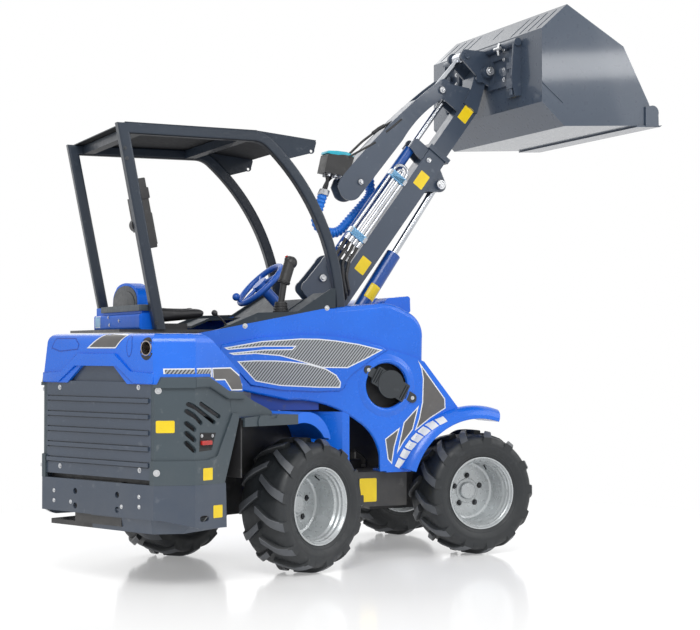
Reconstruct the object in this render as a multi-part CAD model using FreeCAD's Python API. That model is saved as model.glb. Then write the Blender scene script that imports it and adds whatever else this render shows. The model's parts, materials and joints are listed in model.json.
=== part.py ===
"""Compact articulated wheel loader with a telescopic boom and a bucket.

Millimetres. +X is forward along the front chassis, +Y is left, +Z is up. The model is drawn about the
steering pivot on the ground; at the end the whole machine is moved so that its origin lies under the
middle of its bounding box, on the ground. The rear chassis is drawn straight and then swung.
"""
import FreeCAD, Part
import math
import os

V = FreeCAD.Vector

# ---------------------------------------------------------------- driving dimensions
STEER_ANGLE = 24.4          # how far the rear chassis is swung to the right at rest, degrees

# wheels and axles
TRACK = 847.0
FRONT_AXLE_X = 482.0        # ahead of the steering pivot
REAR_AXLE_X = -752.0        # behind the steering pivot
TYRE_R = 295.0              # over the lugs
TYRE_W = 262.0
RIM_R = 171.0
RIM_FACE = 113.0            # outer rim flange from the middle of the tyre
AXLE_R = 42.0
HUB_R = 58.0
HUB_FACE = -50.0            # where the hub's flange meets the rim disc, from the tyre's middle
HUB_CAP_R = 40.0

# front body
BODY_HALF = 450.0
PANEL_T = 14.0
SLOT_HALF = 108.0           # half the open slot between the domes, where the boom works
DECK_Z = 1056.0
DECK_T = 12.0
FRAME_HALF = 150.0
BELLY_TOP = 402.0
SIDE_LOW_Z = 408.0

# boom and its pins, X and Z in the boom's plane
BOOM_ANGLE = 53.2
BOOM_PIVOT = (-190.0, 1035.0)
BOOM_W = 100.0
BOOM_H = 110.0
HEAD_HALF = 56.0
BOOM_WALL = 7.0
INNER_GAP = 2.0
INNER_W = BOOM_W - 2 * (BOOM_WALL + INNER_GAP)
INNER_H = BOOM_H - 2 * (BOOM_WALL + INNER_GAP)
OUTER_LEN = 1175.0          # boom pivot to the collar's front face
HEAD_LEN = 1657.0           # boom pivot to the tool pivot, along the boom, at rest
HEAD_RISE = 50.0            # tool pivot above the boom's middle line
PIN_R = 17.5
PIN_GAP = 0.05
LIFT_EYE_ALONG = OUTER_LEN - 134.0      # lift cylinder's eye, along the boom from its pivot
LIFT_EYE_DROP = 100.0        # and below the boom's middle line
LIFT_BASE = (-219.0, 726.0)
LIFT_BARREL = 880.0
LIFT_BARREL_R = 38.0
LIFT_ROD_R = 18.0
LIFT_EYE_R = 26.0
TILT_BASE = (HEAD_LEN - 879.0, 249.0)   # tilt cylinder's pins, along and square to the boom
TILT_EYE = (HEAD_LEN - 2.0, HEAD_RISE + 133.0)
TILT_BARREL = 600.0
TILT_BARREL_R = 28.0
TILT_ROD_R = 15.0
TILT_EYE_R = 26.0
EXTEND_BASE = 274.0         # extension cylinder's rear pin, along the boom
EXTEND_UP = 126.0           # its axis above the boom's middle line
EXTEND_BARREL = OUTER_LEN - 355.0
EXTEND_BARREL_R = 26.0
EXTEND_ROD_R = 15.0
STROKE_IN = 220.0           # how far the inner boom can still be drawn in, and run out
STROKE_OUT = 380.0
BOOM_LAP = 395.0            # length of inner boom that stays inside when it is run right out

# bucket
BUCKET_HALF = 570.0
BUCKET_T = 8.0
BUCKET_BACK = 35.5          # back of the bucket ahead of the tool pivot

# rear body, in the rear chassis' own straight frame
TAIL_X = -1567.0
TAIL_HALF = 360.0
SIDE_HALF = 470.0
FOLD_X = -1440.0
HOOD_TOP = 1046.0
HOOD_LOW = 838.0
HOOD_SIDE_LOW = 868.0       # lower edge of the hood beside the folded corner
HOOD_FRONT = -1150.0
EXHAUST_Y = -308.0
EXHAUST_Z = 986.0
EXHAUST_R = 31.0

nodes = {}


# ---------------------------------------------------------------- helpers
def box(x0, x1, y0, y1, z0, z1):
    return Part.makeBox(x1 - x0, y1 - y0, z1 - z0, V(x0, y0, z0))


def face_of(points):
    return Part.Face(Part.makePolygon(points + points[:1]))


def outline_face(points, place):
    """Face with that outline. A point of four numbers ends an arc, through its first two to its last two."""
    edges = []
    last = place(*points[0][-2:])
    for point in points[1:] + points[:1]:
        end = place(*point[-2:])
        if len(point) == 4:
            edges.append(Part.Arc(last, place(*point[:2]), end).toShape())
        else:
            edges.append(Part.makeLine(last, end))
        last = end
    return Part.Face(Part.Wire(edges))


def prism_xz(points, y0, y1):
    return outline_face(points, lambda x, z: V(x, y0, z)).extrude(V(0, y1 - y0, 0))


def prism_xy(points, z0, z1):
    return outline_face(points, lambda x, y: V(x, y, z0)).extrude(V(0, 0, z1 - z0))


def prism_yz(points, x0, x1):
    return outline_face(points, lambda y, z: V(x0, y, z)).extrude(V(x1 - x0, 0, 0))


def cyl_y(x, z, r, y0, y1):
    return Part.makeCylinder(r, y1 - y0, V(x, y0, z), V(0, 1, 0))


def cyl_between(a, b, r):
    return Part.makeCylinder(r, (b - a).Length, a, b - a)


def slot_y(a, b, width, y0, y1):
    """A slot across Y, with round ends at the points a and b, each given as X and Z."""
    d = V(b[0] - a[0], 0, b[1] - a[1])
    d.normalize()
    n = V(-d.z, 0, d.x) * (width / 2)
    a3, b3 = V(a[0], y0, a[1]), V(b[0], y0, b[1])
    strip = face_of([a3 + n, b3 + n, b3 - n, a3 - n]).extrude(V(0, y1 - y0, 0))
    return strip.fuse([cyl_y(a[0], a[1], width / 2, y0, y1), cyl_y(b[0], b[1], width / 2, y0, y1)])


def mirrored(shape):
    return shape.mirror(V(0, 0, 0), V(0, 1, 0))


def swung(shape):
    """A shape of the rear chassis, drawn straight, at its place behind the pivot."""
    copy = shape.copy()
    copy.rotate(V(0, 0, 0), V(0, 0, 1), STEER_ANGLE)
    return copy


def unit(angle):
    return V(math.cos(math.radians(angle)), 0, math.sin(math.radians(angle)))


BOOM_DIR = unit(BOOM_ANGLE)
BOOM_UP = unit(BOOM_ANGLE + 90)


def on_boom(along, up, y=0.0):
    """A point given along the boom from its pivot and square to it."""
    base = V(BOOM_PIVOT[0], y, BOOM_PIVOT[1])
    return base + BOOM_DIR * along + BOOM_UP * up


def boom_prism(points, y0, y1):
    """A profile drawn along and square to the boom, extruded across it."""
    return outline_face(points, lambda s, n: on_boom(s, n, y0)).extrude(V(0, y1 - y0, 0))


def boom_box(s0, s1, n0, n1, y0, y1):
    return boom_prism([(s0, n0), (s1, n0), (s1, n1), (s0, n1)], y0, y1)


# ---------------------------------------------------------------- wheels
def largest(shape):
    """The biggest solid of a shape, without the crumbs that a cut leaves."""
    return max(shape.Solids, key=lambda solid: solid.Volume)


def faceted(rings, closed):
    """Closed solid of flat facets between rings of points; closed joins the last ring to the first."""
    faces = []
    count = len(rings)
    for i in range(count if closed else count - 1):
        a, b = rings[i], rings[(i + 1) % count]
        for j in range(len(a)):
            k = (j + 1) % len(a)
            if closed:
                faces.append(face_of([a[j], a[k], b[k], b[j]]))
            else:
                faces.append(face_of([a[j], a[k], b[k]]))
                faces.append(face_of([a[j], b[k], b[j]]))
    if not closed:
        faces += [face_of(rings[0]), face_of(rings[-1])]
    solid = Part.Solid(Part.Shell(faces))
    if solid.Volume < 0:
        solid.reverse()
    return solid


def tread_point(turn, across, radius):
    """A point of a tyre about the origin; turn is in degrees, from the rear over the top to the front."""
    a = math.radians(turn)
    return V(-radius * math.cos(a), across, radius * math.sin(a))


TYRE_SECTORS = 12
LUGS_PER_SIDE = 13
LUG_H = 21.0
BEAD_GAP = 0.15


def tyre_shape():
    """Farm-tread tyre about the origin: a carcass of flat facets with curved bars that point forward."""
    half = TYRE_W / 2
    tread = TYRE_R - LUG_H
    bead = (RIM_R - 4.1 + BEAD_GAP) / math.cos(math.pi / TYRE_SECTORS)
    side = [(bead, RIM_FACE - 9), (RIM_R + 40, half), (TYRE_R - 35, half - 14), (tread, half - 70)]
    profile = [(r, -w) for r, w in side] + [(r, w) for r, w in reversed(side)]
    rings = []
    for i in range(TYRE_SECTORS):
        turn = 360.0 * i / TYRE_SECTORS
        rings.append([tread_point(turn, w, r) for r, w in profile])
    shape = faceted(rings, True)
    pitch = 360.0 / LUGS_PER_SIDE
    lugs = []
    for i in range(LUGS_PER_SIDE):
        for hand in (-1, 1):
            lugs.append(lug(pitch * (i + (0.5 if hand > 0 else 0.0)), hand))
    return shape.fuse(lugs).removeSplitter()


def lug(turn, hand):
    """One tread bar: it leans back from the middle of the tread and runs down over the shoulder."""
    half = TYRE_W / 2
    stations = [(-6, 0.0, TYRE_R, 2.9), (half - 60, -10.0, TYRE_R - 1, 3.1), (half - 2, -15.5, TYRE_R - 30, 3.3)]
    rings = []
    for across, lean, top, width in stations:
        low = top - LUG_H - 12
        mid = turn + lean
        y = hand * across
        rings.append([tread_point(mid - width - 0.9, y, low), tread_point(mid + width + 0.9, y, low),
                      tread_point(mid + width, y, top), tread_point(mid - width, y, top)])
    return faceted(rings, False)


def rim(x, y, side):
    """Deep dished disc wheel; side is +1 on the left, -1 on the right."""
    face = HUB_FACE + 10
    seat = RIM_R - 4.1
    outline = [
        (0, HUB_FACE), (126, HUB_FACE), (141, HUB_FACE - 3), (141, -RIM_FACE + 46), (RIM_R - 6, -RIM_FACE),
        (RIM_R, -RIM_FACE), (RIM_R, -RIM_FACE + 5.9), (seat, -RIM_FACE + 5.9), (147, -RIM_FACE + 48),
        (147, RIM_FACE - 52), (153, RIM_FACE - 43), (155, RIM_FACE - 30), (161, RIM_FACE - 20),
        (seat, RIM_FACE - 5.9), (RIM_R, RIM_FACE - 5.9), (RIM_R, RIM_FACE), (RIM_R - 6, RIM_FACE),
        (RIM_R - 11, RIM_FACE - 8), (RIM_R - 15, RIM_FACE - 12), (154, RIM_FACE - 22), (149, RIM_FACE - 29),
        (147, RIM_FACE - 41), (141, RIM_FACE - 51), (139, face + 16), (134, face + 4), (124, face),
        (60, face), (56, face + 3), (HUB_CAP_R + 2, face + 3), (HUB_CAP_R, face + 6),
        (HUB_CAP_R, face + 17), (HUB_CAP_R - 4, face + 20), (0, face + 20),
    ]
    profile = face_of([V(x, y + side * w, TYRE_R + r) for r, w in outline])
    return profile.revolve(V(x, y, TYRE_R), V(0, 1, 0), 360)


def axle(x):
    """Axle tube with a centre housing and a hub flange at each end."""
    end = TRACK / 2 + HUB_FACE - 0.3
    shape = cyl_y(x, TYRE_R, AXLE_R, -end, end)
    for side in (-1, 1):
        y0, y1 = sorted((side * (end - 24), side * end))
        shape = shape.fuse(cyl_y(x, TYRE_R, HUB_R, y0, y1))
        y0, y1 = sorted((side * (end - 110), side * (end - 24)))
        shape = shape.fuse(cyl_y(x, TYRE_R, HUB_R + 18, y0, y1))
    return shape.removeSplitter()


def wheels():
    """Tyre and rim at each corner; the tyre is drawn once, and its copy on the left is mirrored."""
    pattern = tyre_shape()
    for name, x, turn in (("front", FRONT_AXLE_X, False), ("rear", REAR_AXLE_X, True)):
        for hand, side in (("right", -1), ("left", 1)):
            rubber = pattern.copy() if side < 0 else mirrored(pattern)
            rubber.translate(V(x, side * TRACK / 2, TYRE_R))
            parts = {"tyre": rubber, "rim": rim(x, side * TRACK / 2, side)}
            for kind, shape in parts.items():
                nodes[f"{name}_{hand}_{kind}"] = swung(shape) if turn else shape


# ---------------------------------------------------------------- front chassis
MAST_IN = 82.0
MAST_T = 18.0
YOKE_HALF = 90.0
YOKE_R = 62.0
KING_PIN_R = 25.0
YOKE_LOW = (236.0, 268.0)
YOKE_HIGH = (440.0, 472.0)
LUG_CLEAR = 3.0


def front_frame():
    """Frame box with the pivot lugs and the two plates of the boom mast."""
    front_x = FRONT_AXLE_X + 150
    low, high = YOKE_LOW[1] + LUG_CLEAR, YOKE_HIGH[0] - LUG_CLEAR
    body = box(YOKE_R + 10, front_x, -FRAME_HALF, FRAME_HALF, 200, 400)
    lug = box(0, YOKE_R + 10, -55, 55, low, high)
    lug = lug.fuse(Part.makeCylinder(55, high - low, V(0, 0, low)))
    shape = body.fuse(lug).cut(Part.makeCylinder(KING_PIN_R + PIN_GAP, 400, V(0, 0, 200)))
    shape = shape.cut(cyl_y(FRONT_AXLE_X, TYRE_R, AXLE_R, -200, 200))
    plate = [
        (YOKE_R + 20, 399), (240, 399), (150, 560), (-60, 930), (-110, 1080), (-150, 1105), (-230, 1105),
        (-290, 1060), (-300, 640), (-180, 520), (YOKE_R - 40, 490), (YOKE_R + 20, 440),
    ]
    for side in (-1, 1):
        y0, y1 = sorted((side * MAST_IN, side * (MAST_IN + MAST_T)))
        shape = shape.fuse(prism_xz(plate, y0, y1))
    for x, z in (BOOM_PIVOT, LIFT_BASE):
        shape = shape.fuse(cyl_y(x, z, PIN_R, -MAST_IN - MAST_T - 6, MAST_IN + MAST_T + 6))
    box_right = belly_box()
    return shape.fuse([box_right, mirrored(box_right)]).removeSplitter()


def belly_box():
    """Closed box beside the frame, under the right side panel."""
    plan = [(-100, -400), (-100, -290), (10, -FRAME_HALF), (YOKE_R + 40, -FRAME_HALF), (150, -FRAME_HALF),
            (150, -400)]
    return prism_xy(plan, 240, BELLY_TOP)


def arc_ends(cx, cz, r, a0, a1):
    """Start of an arc, and its middle and end in one point, as outline_face takes them."""
    def at(angle):
        a = math.radians(angle)
        return cx + r * math.cos(a), cz + r * math.sin(a)

    return at(a0), at((a0 + a1) / 2) + at(a1)


ARCH_R = 352.0
SWEEP_X = 199.0             # where the curved wall meets the side panel, behind the pivot
SWEEP_R = math.hypot(BODY_HALF, SWEEP_X)    # what stands low behind stays inside this circle
VENT_AT = (20.0, 808.0)
VENT_R = 109.0
VENT_EARS = [(-76.0, 882.0), (152.0, 748.0)]
RING_LOW_Z = 437.0          # the curved wall starts above the rear chassis' rails


def side_panel():
    """Lower side panel on the right: bulged band on top, wheel arch in front, cut back behind."""
    arch_from = 180 - math.degrees(math.asin((SIDE_LOW_Z - TYRE_R) / ARCH_R))
    wheel_arch = arc_ends(FRONT_AXLE_X, TYRE_R, ARCH_R, arch_from, 95)
    outline = [
        wheel_arch[0], wheel_arch[1], (400, 700), (219, 920), (131, 952, -7, 983),
        (-130, 1014, -286, 1030), (-600, 1026), (-950, 990), (-950, 905), (-696, 790), (-480, 745),
        (-273, 717, -130, 645), (-50, 570, -15, 480), (-13, SIDE_LOW_Z),
    ]
    panel = prism_xz(outline, -BODY_HALF, -BODY_HALF + PANEL_T)
    outer = [e for e in panel.Edges if e.BoundBox.YMax < -BODY_HALF + 0.1 and e.BoundBox.XMin > -940
             and e.BoundBox.XMax < -100 and e.BoundBox.ZMax < 950]
    panel = panel.makeFillet(PANEL_T - 3, outer)
    panel = panel.cut(cyl_y(*VENT_AT, VENT_R, -BODY_HALF - 1, -BODY_HALF + PANEL_T + 1))
    sleeve = cyl_y(*VENT_AT, VENT_R + 6, -BODY_HALF + PANEL_T - 6, -BODY_HALF + 60)
    sleeve = sleeve.cut(cyl_y(*VENT_AT, VENT_R, -BODY_HALF, -BODY_HALF + 61))
    ring = Part.makeCylinder(SWEEP_R, 690 - RING_LOW_Z, V(0, 0, RING_LOW_Z))
    ring = ring.cut(Part.makeCylinder(SWEEP_R - PANEL_T, 690 - RING_LOW_Z, V(0, 0, RING_LOW_Z)))
    window = box(-460, -15, -BODY_HALF + 3, -160, RING_LOW_Z, 690)
    flange = box(20, 148, -BODY_HALF + 0.5, -300, BELLY_TOP, SIDE_LOW_Z + 4)
    parts = [ring.common(window), flange, sleeve, front_fender(), front_guard()]
    return panel.fuse(parts).removeSplitter()


def vent_cover():
    """Ribbed cover that spans the round opening in the right side panel, held by its two ears."""
    a, b = VENT_EARS
    mid = ((a[0] + b[0]) / 2, (a[1] + b[1]) / 2)
    y1 = -BODY_HALF
    y0 = y1 - 8
    strap = slot_y(a, b, 44, y0, y1)
    pad = cyl_y(*mid, 66, y0 - 5, y1)
    shape = strap.fuse([pad, slot_y(a, b, 88, y0 - 2, y1).common(cyl_y(*mid, 100, y0 - 3, y1))])
    d = V(b[0] - a[0], 0, b[1] - a[1])
    d.normalize()
    n = V(-d.z, 0, d.x) * 34
    for step in (-96, -84, -72, 72, 84, 96):
        c = V(mid[0], 0, mid[1]) + d * step
        shape = shape.cut(slot_y((c.x - n.x, c.z - n.z), (c.x + n.x, c.z + n.z), 5, y0 - 6, y0 + 3))
    return shape.removeSplitter()


DOME_REAR = -236.0


def shoulder():
    """Upper moulding on the right: belt along the console and the dome beside the boom."""
    y0 = -BODY_HALF + 10
    belt = [(-950, 990), (-600, 1026), (-286, 1030), (-130, 1014, -7, 983), (40, 973), (40, 1150),
            (-170, 1170), (-300, 1166), (-880, 1056), (-950, 1043)]
    shape = prism_xz(belt, y0, y0 + PANEL_T)
    dome = [(DOME_REAR, 1024), (-130, 1010, -7, 983), (131, 952, 219, 920), (221, 1030),
            (200, 1112, 131, 1160), (60, 1190, -30, 1192), (DOME_REAR, 1172)]
    block = prism_xz(dome, y0, -SLOT_HALF)
    top = [e for e in block.Edges if e.BoundBox.YMax < y0 + 0.1 and e.BoundBox.ZMin > 1000
           and e.BoundBox.XMax > DOME_REAR + 5]
    block = block.makeFillet(24, top)
    return block.fuse(shape.cut(box(DOME_REAR + 1, 300, -600, 0, 900, 1300))).removeSplitter()


def front_fender():
    """Flared band round the front wheel's arch, on the right."""
    outer = BODY_HALF + 60
    top = ARCH_R + 62
    section = [(ARCH_R, -300), (ARCH_R, -outer + 4), (ARCH_R + 1, -outer + 1, ARCH_R + 4, -outer),
               (ARCH_R + 18, -outer), (ARCH_R + 48, -outer + 22, top, -BODY_HALF), (top, -BODY_HALF + 8),
               (ARCH_R + 12, -BODY_HALF + 8), (ARCH_R + 12, -300)]
    face = outline_face(section, lambda r, y: V(FRONT_AXLE_X + r, y, TYRE_R))
    face.rotate(V(FRONT_AXLE_X, 0, TYRE_R), V(0, 1, 0), -72)
    return face.revolve(V(FRONT_AXLE_X, 0, TYRE_R), V(0, 1, 0), -90)


def front_guard():
    """Sloping guard that closes the nose on the right of the boom's slot."""
    plate = [(184, 930), (196, 932), (398, 700), (398, 655), (388, 655), (388, 696)]
    return prism_xz(plate, -BODY_HALF + PANEL_T, -SLOT_HALF)


def work_lamp():
    """Work lamp housing on the dome, beside the boom, on the right, with its lens pocket in front."""
    outline = [(112, 1186), (118, 1214, 150, 1228), (226, 1234), (246, 1232, 250, 1216), (252, 1164),
               (240, 1150), (160, 1166)]
    foot = box(140, 200, -196, -140, 1080, 1170)
    shape = prism_xz(outline, -236, -SLOT_HALF - 6)
    pocket = box(244, 260, -226, -SLOT_HALF - 16, 1168, 1212)
    return shape.cut(pocket).fuse(foot).cut(shoulder()).removeSplitter()


SEAT_REAR_X = -1116.0
SEAT_FRONT_X = -784.0
SEAT_LOW_Z = 1098.0
SEAT_TOP_Z = 1165.0
FOOT_REAR_X = -640.0
FOOT_FRONT_X = -316.0
FOOT_FLOOR_Z = 700.0


def platform():
    """Deck plate with the seat stand, and in front of it the open tub for the driver's feet."""
    plate = box(-1265, FOOT_REAR_X, -BODY_HALF + 24, BODY_HALF - 24, DECK_Z, DECK_Z + DECK_T)
    stand = box(SEAT_REAR_X + 60, SEAT_FRONT_X - 90, -190, 190, DECK_Z + DECK_T, SEAT_LOW_Z)
    half = BODY_HALF - 24
    outer = box(FOOT_REAR_X - 10, FOOT_FRONT_X, -half, half, FOOT_FLOOR_Z, DECK_Z)
    inner = box(FOOT_REAR_X, FOOT_FRONT_X - 10, -half + 10, half - 10, FOOT_FLOOR_Z + 10, DECK_Z + 10)
    return plate.fuse([stand, outer.cut(inner)]).removeSplitter()


def console_side():
    """Grey side plate of the console and the top that runs in from it, on the right."""
    y0 = -BODY_HALF + 10
    outline = [(-862, 1049), (-763, 1088), (-619, 1146), (-428, 1152), (-262, 1258), (DOME_REAR - 0.3, 1262),
               (DOME_REAR - 0.3, 1172), (-300, 1166)]
    plate = prism_xz(outline, y0, y0 + PANEL_T)
    plate = plate.cut(shoulder())
    top = [(-710, 1093), (-619, 1131), (-428, 1137), (-262, 1243), (-262, 1231), (-425, 1125), (-619, 1119),
           (-710, 1081)]
    return plate.fuse(prism_xz(top, y0 + PANEL_T, -235)).removeSplitter()


def console():
    """Both console sides with the dashboard between them, open over the boom's pivot."""
    dash = [(-430, 1138), (-312, 1217), (-312, 1060), (-400, 1090)]
    shape = console_side().fuse([mirrored(console_side()), prism_xz(dash, -235, 235)])
    return shape.removeSplitter()


WHEEL_C = V(-440, 0, 1290)
COLUMN_DIR = V(-0.70, 0, 0.714)
STEER_WHEEL_R = 145.0


def steering_wheel():
    """Steering wheel on its column, which stands in the dashboard."""
    column = cyl_between(WHEEL_C - COLUMN_DIR * 160, WHEEL_C - COLUMN_DIR * 20, 26).cut(console())
    ring = Part.makeTorus(STEER_WHEEL_R - 14, 14, WHEEL_C, COLUMN_DIR)
    hub = cyl_between(WHEEL_C - COLUMN_DIR * 21, WHEEL_C + COLUMN_DIR * 12, 40)
    shape = ring.fuse([hub, column])
    side = V(0, 1, 0)
    across = COLUMN_DIR.cross(side)
    for angle in (90, 210, 330):
        a = math.radians(angle)
        out = side * math.cos(a) + across * math.sin(a)
        shape = shape.fuse(cyl_between(WHEEL_C + out * 20, WHEEL_C + out * (STEER_WHEEL_R - 14), 9))
    knob_at = WHEEL_C + across * (STEER_WHEEL_R - 14)
    knob = cyl_between(knob_at, knob_at + COLUMN_DIR * 34, 7)
    knob = knob.fuse(Part.makeSphere(19, knob_at + COLUMN_DIR * 44))
    return largest(shape.fuse(knob))


def joystick():
    """Control lever on the console's right, with its rubber boot and grip."""
    foot = V(-466, -BODY_HALF + 120, 1134)
    boot = Part.makeCone(38, 26, 66, foot)
    stem = cyl_between(foot + V(0, 0, 55), foot + V(18, 0, 165), 15)
    grip = cyl_between(foot + V(14, 0, 150), foot + V(46, 0, 250), 27)
    head = Part.makeSphere(30, foot + V(50, 0, 248))
    return boot.fuse([stem, grip, head]).cut(console()).removeSplitter()


def seat():
    """Low seat: a wedge cushion and a back that wraps round the driver's hips."""
    z0 = SEAT_LOW_Z
    side = [(SEAT_REAR_X + 50, z0), (SEAT_FRONT_X - 24, z0 + 26), (SEAT_FRONT_X, z0 + 40, SEAT_FRONT_X - 4, z0 + 56),
            (SEAT_FRONT_X - 24, SEAT_TOP_Z + 2), (SEAT_REAR_X + 200, SEAT_TOP_Z - 8), (SEAT_REAR_X + 50, SEAT_TOP_Z)]
    nodes["seat_cushion"] = prism_xz(side, -225, 225)
    x0, x1 = SEAT_REAR_X, SEAT_REAR_X + 110
    plan = [(x1, -245), (x0 + 20, -228, x0, -150), (x0, 150), (x0 + 20, 228, x1, 245), (x1, 205),
            (x0 + 60, 195, x0 + 49.7, 140), (x0 + 49.7, -140), (x0 + 60, -195, x1, -205)]
    rear_view = [(-250, z0 + 42), (-250, z0 + 120), (-232, 1262, -150, 1276), (0, 1288, 150, 1276),
                 (232, 1262, 250, z0 + 120), (250, z0 + 42)]
    back = prism_xy(plan, z0, 1300).common(prism_yz(rear_view, x0 - 1, x1 + 1)).cut(rear_box())
    nodes["seat_back"] = back
    nodes["seat_cushion"] = nodes["seat_cushion"].cut(back)


def rear_box():
    """Box across the deck behind the seat, with the grey shelf's ledge on top."""
    low = DECK_Z + DECK_T
    shape = box(-1160, SEAT_REAR_X + 40, -385, 385, low, SEAT_LOW_Z + 42)
    shape = shape.makeFillet(12, [e for e in shape.Edges if e.BoundBox.XMax < -1159])
    ledge = box(-1148, SEAT_REAR_X - 0.3, -375, 375, SEAT_LOW_Z + 42, 1176)
    return shape.fuse(ledge).removeSplitter()


def belt_reel():
    """Seat belt reel with its long cover, on the inner side of the right rear post."""
    z = 1500.0
    lean = (POST_TOP_X - POST_FOOT_X) / (RAIL_Z - POST_FOOT_Z)
    x = POST_FOOT_X + lean * (z - POST_FOOT_Z)
    y0 = -frame_y(x) + TUBE / 2
    cover = box(x - 18, x + 18, y0 - 6, y0 + 36, z, z + 150)
    drum = cyl_y(x, z + 30, 31, y0 - 2, y0 + 40)
    case = cover.fuse(drum)
    case.rotate(V(x, y0, z), V(0, 1, 0), math.degrees(math.atan(lean)))
    return largest(case.cut(rops())).removeSplitter()


# ---------------------------------------------------------------- roll-over frame and canopy
POST_HALF = 430.0           # middle of the rear posts, away from the middle plane
TUBE = 48.0
RAIL_Z = 1950.0
POST_TOP_X = -1255.0
POST_FOOT_X = -1083.0
POST_FOOT_Z = 1076.0
BEND_X = -636.0             # where the roof rail starts to bend into the pillar
BEND_R = 125.0
BEND_TURN = 41.0
PILLAR_R = 1045.0
PILLAR_LOW_Z = 1160.0
TAPER = 2.5                 # how far each side frame turns in towards the front, degrees


def frame_tube(path):
    """Square tube with rounded corners along a path in the plane Y = 0; corners of the path are mitred."""
    half, r = TUBE / 2, 9.0
    start = path.Vertexes[0].Point
    second = path.Edges[0].tangentAt(path.Edges[0].FirstParameter)
    section = box(-half, half, -half, half, 0, 1)
    section = section.makeFillet(r, [e for e in section.Edges if e.BoundBox.ZLength > 0.9])
    section = [f for f in section.Faces if abs(f.CenterOfMass.z) < 1e-6][0]
    section.Placement = FreeCAD.Placement(start, FreeCAD.Rotation(V(0, 0, 1), second))
    return path.makePipeShell([section.OuterWire], True, True, 1)


def side_frame():
    """One side of the roll-over frame in the plane Y = 0: leaning rear post, roof rail and bowed pillar."""
    lean = V(POST_TOP_X - POST_FOOT_X, 0, RAIL_Z - POST_FOOT_Z)
    foot = V(POST_FOOT_X, 0, POST_FOOT_Z) - lean * 0.05
    corner = V(POST_TOP_X, 0, RAIL_Z)
    bend_at = V(BEND_X, 0, RAIL_Z)
    bend_c = bend_at - V(0, 0, BEND_R)
    turn = math.radians(BEND_TURN)
    half_turn = turn / 2
    bend_mid = bend_c + V(math.sin(half_turn), 0, math.cos(half_turn)) * BEND_R
    out = V(math.sin(turn), 0, math.cos(turn))
    bend_end = bend_c + out * BEND_R
    pillar_c = bend_end - out * PILLAR_R
    low = math.acos((PILLAR_LOW_Z - pillar_c.z) / PILLAR_R)
    mid = (turn + low) / 2
    pillar_mid = pillar_c + V(math.sin(mid), 0, math.cos(mid)) * PILLAR_R
    pillar_end = pillar_c + V(math.sin(low), 0, math.cos(low)) * PILLAR_R
    path = Part.Wire([
        Part.makeLine(foot, corner), Part.makeLine(corner, bend_at),
        Part.Arc(bend_at, bend_mid, bend_end).toShape(),
        Part.Arc(bend_end, pillar_mid, pillar_end).toShape(),
    ])
    return frame_tube(path)


def rops():
    """Roll-over frame: two side frames that draw in towards the front, with two cross rails."""
    side = side_frame()
    side.rotate(V(POST_TOP_X, 0, 0), V(0, 0, 1), TAPER)
    side.translate(V(0, -POST_HALF, 0))
    floor_cut = box(-1300, -900, -600, 600, 900, DECK_Z + DECK_T)
    side = side.cut([floor_cut, shoulder(), console()])
    half = TUBE / 2
    parts = [side, mirrored(side)]
    for x in (POST_TOP_X + 2 * half, BEND_X - 60):
        y = frame_y(x) - half + 2
        parts.append(box(x, x + TUBE, -y, y, RAIL_Z - half + 4, RAIL_Z + half - 4))
    return parts[0].fuse(parts[1:]).removeSplitter()


def frame_y(x):
    """Middle of the side frame's tube, away from the middle plane, at a place along the machine."""
    return POST_HALF - (x - POST_TOP_X) * math.tan(math.radians(TAPER))


CHEEK_OUT = 12.0            # outer face of the canopy's cheeks, outside the side frame's middle
CHEEK_T = 5.0
ROOF_T = 4.0
VISOR_X = -325.0
VISOR_Z = 1948.0
VISOR_HOLE = (-349.0, 1896.0, 7.0)


def canopy():
    """Roof sheet on the frame with its visor, and a cheek plate down each side of the visor."""
    top = RAIL_Z + TUBE / 2
    x0, x1 = POST_TOP_X + 8, BEND_X + 16
    edge = TUBE / 2 - 6
    roof = prism_xy([(x0, -frame_y(x0) - edge), (x1, -frame_y(x1) - edge), (x1, frame_y(x1) + edge),
                     (x0, frame_y(x0) + edge)], top, top + ROOF_T)
    cheek_out = frame_y(BEND_X) + CHEEK_OUT
    visor = prism_xz([(x1 - 4, top), (x1 - 4, top + ROOF_T), (VISOR_X, VISOR_Z), (VISOR_X - 1, VISOR_Z - ROOF_T)],
                     -cheek_out, cheek_out)
    cheek = [(x1 - 34, top - 1), (x1, top + 1), (VISOR_X - 18, VISOR_Z),
             (VISOR_X - 2, VISOR_Z - 4, VISOR_X, VISOR_Z - 16),
             (VISOR_X - 8, VISOR_Z - 45), (VISOR_X - 13, VISOR_Z - 60, VISOR_X - 30, VISOR_Z - 63), (-475, 1852),
             (-620, 1900)]
    parts = [visor]
    for hand in (-1, 1):
        y0, y1 = sorted((hand * cheek_out, hand * (cheek_out - CHEEK_T)))
        parts.append(prism_xz(cheek, y0, y1))
    shape = roof.fuse(parts).cut(cyl_y(*VISOR_HOLE, -600, 600))
    return largest(shape.cut(rops())).removeSplitter()


# ---------------------------------------------------------------- boom and cylinders
def boom_cyl(along, up, r, y0, y1):
    """A cylinder across the boom."""
    p = on_boom(along, up)
    return cyl_y(p.x, p.z, r, y0, y1)


def both_sides(make, inside, thickness):
    """The same plate on the left and on the right, standing off the middle plane."""
    return make(inside, inside + thickness).fuse(make(-inside - thickness, -inside))


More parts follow.
